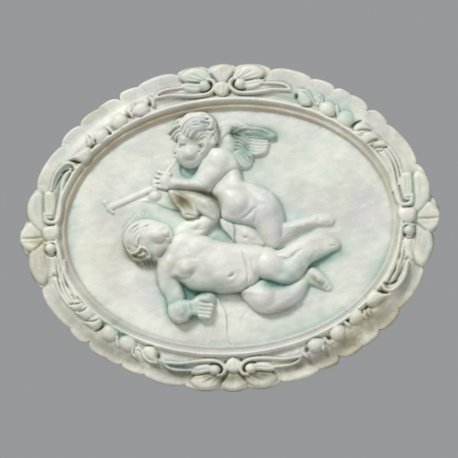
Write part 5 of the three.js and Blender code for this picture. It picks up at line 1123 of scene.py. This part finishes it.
# Stains of the worn paint, and spots of painted shade: place on the sheet, half size, turn and strength
GREEN_STAINS = [
    [(383, 262), (10, 26), 24, 0.5], [(262, 133), (18, 7), 8, 1.3], [(246, 148), (12, 10), 0, 0.9],
    [(240, 134), (9, 7), 0, 0.7], [(252, 166), (16, 8), 0, 0.5], [(190, 172), (14, 10), 0, 0.5],
    [(300, 135), (26, 16), 20, 0.3], [(290, 190), (26, 30), 0, 0.35], [(300, 264), (32, 8), -24, 0.55],
    [(332, 258), (26, 8), -20, 1.0], [(320, 285), (30, 12), 0, 0.55], [(224, 232), (14, 9), 20, 0.6],
    [(172, 206), (34, 10), 0, 0.55], [(140, 212), (22, 8), 0, 0.5], [(196, 290), (22, 8), 8, 0.95],
    [(190, 308), (16, 12), 0, 0.7], [(172, 300), (10, 18), 0, 0.45], [(275, 284), (14, 6), 0, 0.9],
    [(300, 325), (60, 16), -14, 0.5], [(182, 366), (26, 7), 8, 1.0], [(120, 330), (30, 8), 36, 0.8],
    [(300, 95), (30, 8), 14, 0.75], [(350, 118), (22, 7), 30, 0.75], [(205, 84), (9, 6), 0, 0.9],
    [(186, 74), (14, 6), 0, 0.5], [(60, 175), (8, 22), 16, 0.7], [(38, 200), (10, 16), 0, 0.5],
    [(110, 104), (22, 8), -36, 0.55], [(411, 230), (8, 8), 0, 0.7], [(418, 200), (16, 10), 0, 0.45],
    [(70, 250), (10, 40), 0, 0.3],
]
# Ochre stains; those on the lifted palm, under the upper cherub's fringe, under the lower cherub's hair and
# along the bottom of the frame also paint shade there
OCHRE_STAINS_AND_SHADE = [
    [(366, 316), (20, 6), -40, 0.75], [(384, 296), (14, 6), -52, 0.6], [(404, 262), (9, 10), 0, 0.35],
    [(184, 201), (15, 9), 42, 1.0], [(212, 198), (8, 6), 0, 0.5], [(140, 256), (14, 7), 12, 0.9],
    [(172, 262), (12, 8), 0, 0.35], [(196, 139), (8, 3), 0, 0.9], [(240, 398), (90, 9), 0, 0.9],
    [(120, 372), (50, 9), 26, 0.85], [(330, 372), (60, 9), -24, 0.8], [(60, 325), (30, 8), 50, 0.5],
    [(396, 320), (9, 46), 32, 0.6], [(33, 240), (14, 10), 0, 0.7], [(40, 262), (12, 22), 0, 0.45],
    [(400, 128), (9, 30), -40, 0.45], [(96, 108), (14, 5), -36, 0.6], [(228, 66), (9, 5), 0, 0.5],
    [(108, 250), (20, 46), 0, 0.3], [(182, 168), (10, 5), 0, 0.2], [(360, 345), (40, 9), -40, 0.6],
    [(383, 300), (8, 26), 30, 0.5], [(352, 338), (24, 7), -36, 0.6], [(416, 246), (9, 12), 0, 0.4],
    [(372, 146), (10, 5), 40, 0.5], [(96, 150), (8, 6), 0, 0.4], [(300, 190), (10, 14), 0, 0.15],
]
VIOLET_STAINS = [
    [(208, 180), (26, 20), 30, 0.55], [(264, 212), (24, 30), -30, 0.4], [(196, 122), (18, 14), 0, 0.6],
    [(272, 300), (26, 13), -12, 0.9], [(276, 266), (24, 14), 0, 0.55], [(214, 262), (40, 22), 10, 0.4],
    [(140, 232), (20, 16), 0, 0.55], [(325, 224), (24, 9), -10, 0.4], [(310, 250), (20, 9), -20, 0.4],
    [(290, 84), (50, 10), 6, 0.55], [(160, 88), (30, 9), -12, 0.5], [(232, 124), (12, 8), 0, 0.6],
    [(380, 130), (26, 12), 40, 0.45], [(50, 300), (10, 30), -20, 0.4], [(118, 265), (10, 40), 0, 0.3],
    [(270, 355), (60, 12), 0, 0.4], [(366, 240), (12, 50), 0, 0.25], [(250, 165), (20, 10), 0, 0.2],
]
# Painted shade: grey-green darkening under the heads, arms, bellies and legs of the figures, where shade
# falls
PAINTED_SHADE_SPOTS = [
    [(197, 128), (17, 15), 0, 0.55], [(190, 157), (13, 10), 0, 0.5], [(166, 281), (9, 15), 10, 0.5],
    [(182, 310), (12, 10), 0, 0.7], [(163, 247), (11, 9), -20, 0.55], [(216, 285), (28, 7), 4, 1.0],
    [(211, 207), (10, 8), 20, 0.6], [(132, 238), (9, 14), 10, 0.3], [(240, 141), (10, 10), 0, 0.8],
    [(258, 132), (18, 6), 6, 0.9], [(146, 258), (12, 7), 10, 0.7], [(256, 158), (12, 7), 0, 0.5],
    [(214, 182), (12, 7), -40, 0.45], [(188, 277), (10, 5), -10, 0.5], [(227, 160), (8, 12), 0, 0.25],
    [(206, 306), (10, 12), 0, 0.3], [(165, 176), (9, 10), 0, 0.35], [(250, 224), (12, 6), 20, 0.4],
    [(290, 282), (18, 5), -30, 0.5], [(232, 132), (9, 10), 0, 0.4], [(183, 182), (12, 6), 0, 0.35],
    [(302, 229), (16, 4), -14, 0.4],
]
# Painted shade in olive brown: under the lifted hand, the hair, jaw, foot, body and legs, in the armpit and
# in the wing's hollow
OLIVE_SHADE_SPOTS = [
    [(184, 201), (9, 12), -35, 1.0], [(205, 193.6), (15, 6), 14, 0.75], [(217, 205), (6, 9), 0, 0.55],
    [(135, 255), (8, 5), 30, 0.9], [(146, 261), (9, 5), 10, 0.7], [(163, 251), (8, 5), -30, 0.45],
    [(178, 276.6), (7, 3), 0, 0.6], [(194, 272), (3, 5), 30, 0.5], [(319, 282), (11, 4), 44, 0.8],
    [(240, 131), (9, 5), 0, 0.8], [(128, 245), (4, 6), 0, 0.5], [(186, 160), (8, 3), 10, 0.45],
    [(240, 292.6), (16, 2.4), 4, 0.7], [(283, 310), (20, 3), -12, 0.5], [(181, 321), (10, 3), 0, 0.5],
    [(338, 243), (5, 5), 0, 0.3], [(150, 262), (7, 5), 0, 0.4], [(320, 240), (12, 4), -14, 0.2],
]
# Dark teal: the wing lobe's own dark teal with painted shade in it, and painted shade under the thigh, body
# and elbow and in the hollows of the eye, ear and hair
DEEP_TEAL_AND_SHADE_SPOTS = [
    [(260, 133), (15, 4.5), 7, 1.1], [(239, 134), (8, 5), 10, 0.8], [(246, 150), (6, 8), -20, 0.6],
    [(276, 285), (13, 4), 0, 0.9], [(188, 290), (6, 9), -30, 0.8], [(204, 292), (12, 3), 4, 0.8],
    [(193, 317), (4, 3), 0, 0.9], [(214, 226), (9, 3), -40, 0.4], [(186, 172), (8, 5), 0, 0.3],
    [(325, 262), (16, 4), -34, 0.6], [(240, 293.6), (14, 2.2), 4, 0.6], [(229, 176), (10, 3), -45, 0.4],
    [(180, 146), (4, 3), 0, 0.6], [(203, 146), (4, 6), 0, 0.5], [(176, 127), (4, 9), 0, 0.4],
    [(209, 124), (5, 9), 0, 0.45], [(200, 121), (7, 4), 0, 0.4], [(200, 140), (9, 4), 0, 0.4],
]

# Tints and painted shade of the frame's bands. Round the oval, a tint's share is a level with what the way
# up and the way to the right add to it.
COVE_CENTRE = 41.0
COVE_HALF_WIDTH = 5.5
COVE_STRENGTH = 1.6
# The cove's tan is heaviest at the top left, where the cove faces away from the light: painted shade over
# the cove's own tan
COVE_TAN_AND_SHADE = (0.62, 0.42, -0.1)
COVE_LAVENDER = (0.1, -1.2, 0.0)
COVE_SHADE = 0.3
# Painted shade on the frame's band, darker towards the bottom, below the ornament
LOWER_BAND_SHADE_ROUND = (-0.25, -1.3, 0.0)
LOWER_BAND_SHADE_STRENGTH = 0.9
LOWER_BAND_SHADE_DEPTH = 11.0
LOWER_BAND_SHADE_REACH = 5.5
FRAMED_WIDTH = FRAME_WIDTH - 12.0
FADE = 4.0

# Blurs, as passes and reach, that set hollows and creases apart from their surroundings, and how far
# the form must stand under or over them to take the full tint, in millimetres
WIDE_BLUR = (4, 5)
FINE_BLUR = (3, 1)
HOLLOW_FULL = 3.2
CREST_FULL = 2.4
CREASE_FULL = 0.9

# Shape of the casting's edge, in millimetres, and fineness of its mesh
BACK_CHAMFER = 0.8
BACK_MARGIN = 5.0
WALL_ROWS = 4
SOFTENING_PASSES = 1
TRIANGLE_LIMIT = 192000
# The figures lean to the right and down as they rise, so they meet the eye from there
LEAN = (0.10, -0.10)


def stain_and_shade_map(stain_and_shade_spots, x, y):
    """Strength of a group of stain and shade spots at points of the sheet, from 0 to 1."""
    total = np.zeros(x.shape)
    for centre, half, turn, amount in stain_and_shade_spots:
        total += amount * np.exp(-oval_distance(centre, half, turn)(x, y) ** 2)
    return np.clip(total, 0, 1)


def shape_maps(height):
    """Hollows, crests and fine creases of the carving, each from 0 to 1."""
    wide = (blurred(height, *WIDE_BLUR) - height).ravel()
    fine = (blurred(height, *FINE_BLUR) - height).ravel()
    return [np.clip(part, 0, 1) for part in (wide / HOLLOW_FULL, -wide / CREST_FULL, fine / CREASE_FULL)]


def round_oval(angle, level, upward, rightward):
    return np.clip(level + upward * np.sin(angle) + rightward * np.cos(angle), 0, 1)


def band_maps(angle, inside):
    """Cove tan with painted shade, painted shade on the lower band, the frame's share, lavender cove below.
    """
    cove = np.clip(COVE_STRENGTH * (1 - np.abs(inside - COVE_CENTRE) / COVE_HALF_WIDTH), 0, 1)
    lower_band_shade = np.exp(-((inside - LOWER_BAND_SHADE_DEPTH) / LOWER_BAND_SHADE_REACH) ** 2)
    return (
        cove * round_oval(angle, *COVE_TAN_AND_SHADE),
        LOWER_BAND_SHADE_STRENGTH * lower_band_shade * round_oval(angle, *LOWER_BAND_SHADE_ROUND),
        np.clip((FRAMED_WIDTH - inside) / FADE, 0, 1),
        cove * round_oval(angle, *COVE_LAVENDER),
    )


def rim_loop():
    """Grid indices of the rim, in order round it."""
    side = np.arange(GRID)
    n = GRID + 1
    return np.concatenate([side, side * n + GRID, GRID * n + GRID - side, (GRID - side) * n])


def edge_rows(u, v, rise):
    """Rows of points down the casting's wall and in over its back, from those of the rim."""
    wall = [(0.0, rise + (BACK_CHAMFER - rise) * k / WALL_ROWS) for k in range(1, WALL_ROWS + 1)]
    back = [(inset, np.zeros(len(rise))) for inset in (BACK_CHAMFER, BACK_MARGIN)]
    radius = np.hypot(u, v)
    return [(u * (1 - inset / radius), v * (1 - inset / radius), row) for inset, row in wall + back]


def front_faces():
    """Triangles of the grid, with their diagonals along its rings."""
    n = GRID + 1
    i, j = np.meshgrid(np.arange(GRID), np.arange(GRID))
    corner = (i + j * n).ravel()
    rising = ((i < GRID // 2) == (j < GRID // 2)).ravel()[:, None]
    a, b, c, d = corner, corner + 1, corner + 1 + n, corner + n
    first = np.where(rising, np.stack([a, b, c], 1), np.stack([a, b, d], 1))
    second = np.where(rising, np.stack([a, c, d], 1), np.stack([b, c, d], 1))
    return [first, second]


def edge_faces(rim, row_count, start):
    """Triangles from row to row of the edge, and from the last row to the middle of the back."""
    count, loop, faces = len(rim), rim, []
    for row in range(row_count):
        lower = start + row * count + np.arange(count)
        here, there = np.roll(loop, -1), np.roll(lower, -1)
        faces += [np.stack([here, loop, lower], 1), np.stack([here, lower, there], 1)]
        loop = lower
    centre = np.full(count, start + row_count * count)
    return faces + [np.stack([np.roll(loop, -1), loop, centre], 1)]


def fitted(values, low, high):
    """Drawn places scaled to the plaque's size in the frame."""
    return values * (high - low) / (values.max() - values.min())


def triangle_mesh(name, points, faces):
    mesh = bpy.data.meshes.new(name)
    mesh.vertices.add(len(points))
    mesh.vertices.foreach_set("co", np.asarray(points, np.float32).ravel())
    mesh.loops.add(faces.size)
    mesh.loops.foreach_set("vertex_index", faces.astype(np.int32).ravel())
    mesh.polygons.add(len(faces))
    mesh.polygons.foreach_set("loop_start", np.arange(0, faces.size, 3, dtype=np.int32))
    mesh.polygons.foreach_set("use_smooth", np.ones(len(faces), bool))
    mesh.update(calc_edges=True)
    return mesh


def colour_layer(mesh, name, source, *maps):
    """Three maps of the front over the vertices, for the material to mix its tints by."""
    layer = mesh.attributes.new(name, "FLOAT_COLOR", "POINT")
    values = np.ones((len(source), 4), np.float32)
    for i, values_of_front in enumerate(maps):
        values[:, i] = values_of_front[source] * (np.arange(len(source)) < len(values_of_front))
    layer.data.foreach_set("color", values.ravel())


def paint(mesh, height, angle, inside, sheet, source):
    """Colour layers for the form, the stain spots, the painted shade and the bands."""
    tan_and_shade, lower_band_shade, framed, lavender = band_maps(angle, inside)
    green, ochre, violet = (stain_and_shade_map(kind, *sheet) for kind in (GREEN_STAINS, OCHRE_STAINS_AND_SHADE, VIOLET_STAINS))
    # Painted shade: grey-green, olive and dark teal spots, mostly under and between the forms
    shade, olive_shade, deep_teal_and_shade = (stain_and_shade_map(kind, *sheet) for kind in (PAINTED_SHADE_SPOTS, OLIVE_SHADE_SPOTS, DEEP_TEAL_AND_SHADE_SPOTS))
    violet = np.clip(violet + lavender, 0, 1)
    shade = np.clip(shade + COVE_SHADE * lavender, 0, 1)
    colour_layer(mesh, "form", source, *shape_maps(height))
    colour_layer(mesh, "stain_and_shade_spots", source, green, ochre, violet)
    colour_layer(mesh, "shades", source, shade, olive_shade, deep_teal_and_shade)
    colour_layer(mesh, "bands", source, tan_and_shade, lower_band_shade, framed)


def build_plaque():
    """The casting: carved front, wall and flat back, with its colour layers."""
    u, v = lay_out()
    shape = u.shape
    u, v = u.ravel(), v.ravel()
    height = blurred(front_height(u, v).reshape(shape), SOFTENING_PASSES)
    rise = height.ravel()
    angle = np.arctan2(v, u)
    inside = oval_radius(angle) - np.hypot(u, v)
    in_field = np.clip((inside - FRAME_WIDTH + FADE) / FADE, 0, 1) * np.maximum(rise - FIELD_THICKNESS, 0)

    rim = rim_loop()
    rows = edge_rows(u[rim], v[rim], rise[rim])
    source = np.concatenate([np.arange(len(rise)), np.tile(rim, len(rows)), rim[:1]])
    middle = ([0.0], [0.0], [0.0])
    front = (u + LEAN[0] * in_field, v + LEAN[1] * in_field, rise)
    across, up, out = (np.concatenate(parts) for parts in zip(front, *rows, middle))

    low, high = PLAQUE_BOX
    points = np.stack([fitted(across, low[0], high[0]), -out * MILLIMETRE, fitted(up, low[2], high[2])], 1)
    faces = np.concatenate(front_faces() + edge_faces(rim, len(rows), len(rise)))
    mesh = triangle_mesh("plaque", points, faces)
    paint(mesh, height, angle, inside, to_sheet(u, v), source)
    plaque = bpy.data.objects.new("plaque_relief", mesh)
    bpy.context.scene.collection.objects.link(plaque)
    return plaque


def thin_out(piece):
    """Merges facets where the surface is nearly flat, down to the triangle limit."""
    thinner = piece.modifiers.new("thin", "DECIMATE")
    thinner.ratio = TRIANGLE_LIMIT / len(piece.data.polygons)
    graph = bpy.context.evaluated_depsgraph_get()
    mesh = bpy.data.meshes.new_from_object(piece.evaluated_get(graph))
    piece.modifiers.clear()
    old = piece.data
    piece.data = mesh
    bpy.data.meshes.remove(old)
    mesh.polygons.foreach_set("use_smooth", np.ones(len(mesh.polygons), bool))


def linear(red, green, blue):
    """Colour from its everyday 0 to 255 values."""
    def one(value):
        share = value / 255
        return share / 12.92 if share <= 0.04045 else ((share + 0.055) / 1.055) ** 2.4
    return one(red), one(green), one(blue), 1.0


CREAM = linear(227, 225, 213)
PUTTY = linear(204, 203, 190)
IVORY = linear(240, 238, 229)
MINT = linear(188, 213, 201)
DULL = linear(190, 194, 182)
BUTTER = linear(237, 232, 210)
STRAW = linear(236, 228, 206)
BLOOM = linear(232, 240, 240)
TEAL = linear(104, 148, 140)
OCHRE = linear(164, 152, 110)
VIOLET = linear(198, 191, 194)
TAUPE = linear(172, 160, 134)
LOWER_BAND_SHADE = linear(122, 116, 88)
UMBER_CREASE_SHADE = linear(88, 84, 62)
POCKET_DIRT_AND_SHADE = linear(126, 116, 88)
DEEP_TEAL_SHADE = linear(84, 118, 106)
SHADE = linear(142, 156, 148)
OLIVE_SHADE = linear(112, 106, 76)
FLOOR_GREY = linear(214, 212, 208)

# Noises of the paint: scale in waves to the metre, detail and roughness
NOISES = dict(
    broad=(14.0, 3.0, 0.55), drift=(23.0, 4.0, 0.55), cloudy=(45.0, 5.0, 0.6), fine=(260.0, 5.0, 0.65),
    grain=(1100.0, 3.0, 0.6),
)
DABS = (120.0, 4.0, 0.7)
DAB_STRETCH = (0.75, 1.0, 1.5)
DAB_TURN = 24

# Coats of paint, wear and painted shade over the cream, in order: where each lies, its strength, the
# noise that breaks it up with the two levels between which it fades in, and its tint
COATS = [
    ("everywhere", 1.0, "broad", 0.4, 0.68, PUTTY),
    ("everywhere", 0.65, "drift", 0.46, 0.64, VIOLET),
    ("everywhere", 0.42, "cloudy", 0.5, 0.68, MINT),
    ("violet", 0.9, "even", 0, 1, VIOLET),
    ("everywhere", 0.45, "dabs", 0.5, 0.72, DULL),
    ("everywhere", 0.5, "dabs", 0.5, 0.3, BUTTER),
    ("unframed", 0.15, "even", 0, 1, BLOOM),
    ("washed", 1.0, "cloudy", 0.25, 0.7, MINT),
    ("pooled", 1.0, "cloudy", 0.15, 0.5, TEAL),
    ("ochre", 1.0, "cloudy", 0.25, 0.65, OCHRE),
    # Tan over the cove, with painted shade towards the top left
    ("cove", 1.0, "broad", 0.1, 0.6, TAUPE),
    # Painted shade on the lower band of the frame
    ("lower_band_shade", 1.0, "cloudy", 0.2, 0.6, LOWER_BAND_SHADE),
    # Painted shade in grey-green, where the shade spots lie
    ("shade", 0.8, "cloudy", 0, 0.5, SHADE),
    # Painted shade in olive brown
    ("olive_shade", 0.95, "cloudy", 0, 0.5, OLIVE_SHADE),
    # Dark teal, mostly painted shade in creases and under forms
    ("deep_teal_and_shade", 0.8, "fine", 0.2, 0.6, DEEP_TEAL_SHADE),
    # Dirt and painted shade in the frame's hollows
    ("pockets", 0.66, "cloudy", 0.15, 0.6, POCKET_DIRT_AND_SHADE),
    # Painted shade in the fine creases
    ("lines", 1.0, "fine", 0.2, 0.55, UMBER_CREASE_SHADE),
]
CREST_STRENGTH = 0.5
CREST_LEVELS = (0.25, 0.75)

# Varnish and brush marks
ROUGHNESS = 0.42
CLOUDY_ROUGHNESS = 0.3
HOLLOW_ROUGHNESS = 0.12
SPECULAR = 0.5
COAT = 0.08
COAT_ROUGHNESS = 0.25
BUMP_STRENGTH = 0.5
BUMP_DEPTH = 0.0006
FINE_BUMP = 0.6
GRAIN_BUMP = 0.25


class Tree:
    """Short way to lay nodes."""

    def __init__(self, name):
        self.material = bpy.data.materials.new(name)
        self.material.use_nodes = True
        self.tree = self.material.node_tree
        self.shader = self.tree.nodes["Principled BSDF"]

    def node(self, kind, **settings):
        made = self.tree.nodes.new(kind)
        for name, value in settings.items():
            setattr(made, name, value)
        return made

    def feed(self, socket, value):
        if isinstance(value, bpy.types.NodeSocket):
            self.tree.links.new(value, socket)
        else:
            socket.default_value = value

    def feed_all(self, made, **values):
        """Feeds sockets by their names, with an underscore for each space."""
        for name, value in values.items():
            self.feed(made.inputs[name.replace("_", " ")], value)

    def math(self, operation, first, second):
        made = self.node("ShaderNodeMath", operation=operation)
        self.feed(made.inputs[0], first)
        self.feed(made.inputs[1], second)
        return made.outputs[0]

    def times(self, first, *others):
        for other in others:
            first = self.math("MULTIPLY", first, other)
        return first

    def plus(self, first, *others):
        for other in others:
            first = self.math("ADD", first, other)
        return first

    def noise(self, place, scale, detail, rough):
        made = self.node("ShaderNodeTexNoise")
        self.feed_all(made, Vector=place, Scale=scale, Detail=detail, Roughness=rough)
        return made.outputs[0]

    def stretched(self, place, scale, turn):
        made = self.node("ShaderNodeMapping")
        self.feed_all(made, Vector=place, Scale=scale, Rotation=(0.0, radians(turn), 0.0))
        return made.outputs[0]

    def ramp(self, value, low, high):
        made = self.node("ShaderNodeMapRange", interpolation_type="SMOOTHSTEP")
        self.feed_all(made, Value=value, From_Min=low, From_Max=high)
        return made.outputs[0]

    def mix(self, share, first, second):
        made = self.node("ShaderNodeMix", data_type="RGBA")
        self.feed(made.inputs["Factor"], share)
        colours = [s for s in made.inputs if s.type == "RGBA"]
        self.feed(colours[0], first)
        self.feed(colours[1], second)
        return [s for s in made.outputs if s.type == "RGBA"][0]

    def channels(self, layer):
        attribute = self.node("ShaderNodeAttribute", attribute_name=layer)
        split = self.node("ShaderNodeSeparateColor")
        self.feed(split.inputs[0], attribute.outputs["Color"])
        return split.outputs[:3]


def coat_places(t):
    """Where the coats lie, from the colour layers."""
    hollow, crest, crease = t.channels("form")
    green, ochre, violet = t.channels("stain_and_shade_spots")
    cove, lower_band_shade, framed = t.channels("bands")
    shade, olive_shade, deep_teal_and_shade = t.channels("shades")
    pooling = t.plus(t.times(hollow, 1.2), t.times(green, 0.4))
    # Painted shade in the fine creases, stronger in the frame and where the shade spots lie
    crease_shade_weight = t.plus(t.times(framed, 0.5), t.times(shade, 0.5), 0.3)
    return dict(
        everywhere=1.0, hollow=hollow, crest=crest, framed=framed, ochre=ochre, violet=violet, cove=cove,
        lower_band_shade=lower_band_shade, shade=shade, olive_shade=olive_shade, deep_teal_and_shade=deep_teal_and_shade,
        unframed=t.math("SUBTRACT", 1.0, framed),
        washed=t.plus(t.times(hollow, 0.6), t.times(green, 0.9)),
        pooled=t.times(green, pooling),
        pockets=t.times(hollow, framed),
        lines=t.times(crease, crease_shade_weight),
    )


def worn_plaster():
    """Cream paint worn to pale green in the hollows, painted shade under the forms, satin varnish."""
    t = Tree("worn_painted_plaster")
    place = t.node("ShaderNodeTexCoord").outputs["Object"]
    places = coat_places(t)
    noises = {name: t.noise(place, *settings) for name, settings in NOISES.items()}
    noises["dabs"] = t.noise(t.stretched(place, DAB_STRETCH, DAB_TURN), *DABS)
    noises["even"] = 1.0

    colour = CREAM
    for lies, strength, noise, low, high, tint in COATS:
        share = t.times(t.ramp(noises[noise], low, high), places[lies], strength)
        colour = t.mix(share, colour, tint)
    worn = t.times(t.ramp(noises["fine"], *CREST_LEVELS), places["crest"], CREST_STRENGTH)
    colour = t.mix(worn, colour, t.mix(places["framed"], IVORY, STRAW))

    cloudy = t.times(noises["cloudy"], CLOUDY_ROUGHNESS)
    rough = t.plus(cloudy, ROUGHNESS, t.times(places["hollow"], HOLLOW_ROUGHNESS))
    marks = t.plus(t.times(noises["fine"], FINE_BUMP), t.times(noises["grain"], GRAIN_BUMP))
    bump = t.node("ShaderNodeBump")
    t.feed_all(bump, Strength=BUMP_STRENGTH, Distance=BUMP_DEPTH, Height=marks)
    t.feed_all(t.shader, Base_Color=colour, Roughness=rough, Normal=bump.outputs[0])
    t.shader.inputs["Specular IOR Level"].default_value = SPECULAR
    t.shader.inputs["Coat Weight"].default_value = COAT
    t.shader.inputs["Coat Roughness"].default_value = COAT_ROUGHNESS
    return t.material


# Stage, metres
FLOOR_DROP = 0.75
FLOOR_REACH = 8.0
FLOOR_ROUGHNESS = 0.8
WORLD_COLOUR = (0.62, 0.63, 0.65, 1)
WORLD_STRENGTH = 0.5
# Lamps: name, place, width, power and colour
LAMPS = [
    ("key", (-1.0, -1.7, 1.9), 0.7, 60.0, (0.985, 0.995, 0.975)),
    ("fill", (1.8, -2.2, 0.2), 2.0, 16.0, (0.95, 0.98, 1.0)),
]


def build_floor():
    mesh = bpy.data.meshes.new("floor")
    r, z = FLOOR_REACH, -FLOOR_DROP
    mesh.from_pydata([(-r, -r, z), (r, -r, z), (r, r, z), (-r, r, z)], [], [(0, 1, 2, 3)])
    pale = Tree("pale_floor")
    pale.shader.inputs["Base Color"].default_value = FLOOR_GREY
    pale.shader.inputs["Roughness"].default_value = FLOOR_ROUGHNESS
    mesh.materials.append(pale.material)
    floor = bpy.data.objects.new("floor", mesh)
    bpy.context.scene.collection.objects.link(floor)


def aimed(place, target, roll=0.0):
    """Matrix of a lamp or camera at a place, looking at a target."""
    back = (Vector(place) - Vector(target)).normalized()
    right = Vector((0, 0, 1)).cross(back).normalized()
    up = back.cross(right)
    turn = Matrix((right, up, back)).transposed().to_4x4() @ Matrix.Rotation(roll, 4, "Z")
    return Matrix.Translation(place) @ turn


def build_lamp(name, place, size, power, colour):
    lamp = bpy.data.lights.new(name, "AREA")
    lamp.shape = "DISK"
    lamp.size = size
    lamp.energy = power
    lamp.color = colour
    made = bpy.data.objects.new(name, lamp)
    made.matrix_world = aimed(place, (0, 0, 0))
    bpy.context.scene.collection.objects.link(made)


def build_world():
    world = bpy.data.worlds.new("studio")
    bpy.context.scene.world = world
    world.use_nodes = True
    background = world.node_tree.nodes["Background"]
    background.inputs["Color"].default_value = WORLD_COLOUR
    background.inputs["Strength"].default_value = WORLD_STRENGTH
    bpy.context.scene.view_settings.view_transform = "Standard"


# Camera
CAMERA_DISTANCE = 2.4
CAMERA_AZIMUTH = radians(7)
CAMERA_ELEVATION = radians(-6)
VIEW_WIDTH = 0.456
SENSOR = 36.0
NEAR_LIMIT = 0.05
AIM = (0.0009, -0.012, -0.0026)


def build_camera():
    lens = bpy.data.cameras.new("camera")
    lens.sensor_width = SENSOR
    lens.lens = SENSOR * CAMERA_DISTANCE / VIEW_WIDTH
    lens.clip_start = NEAR_LIMIT
    camera = bpy.data.objects.new("camera", lens)
    away = (
        sin(CAMERA_AZIMUTH) * cos(CAMERA_ELEVATION),
        -cos(CAMERA_AZIMUTH) * cos(CAMERA_ELEVATION),
        sin(CAMERA_ELEVATION),
    )
    place = [AIM[k] + away[k] * CAMERA_DISTANCE for k in range(3)]
    camera.matrix_world = aimed(place, AIM, -SHEET_TILT)
    bpy.context.scene.collection.objects.link(camera)
    bpy.context.scene.camera = camera


build_camera()
relief = build_plaque()
thin_out(relief)
relief.data.materials.clear()
relief.data.materials.append(worn_plaster())
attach(relief, "root")
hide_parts("plaque")
build_floor()
for lamp_settings in LAMPS:
    build_lamp(*lamp_settings)
build_world()
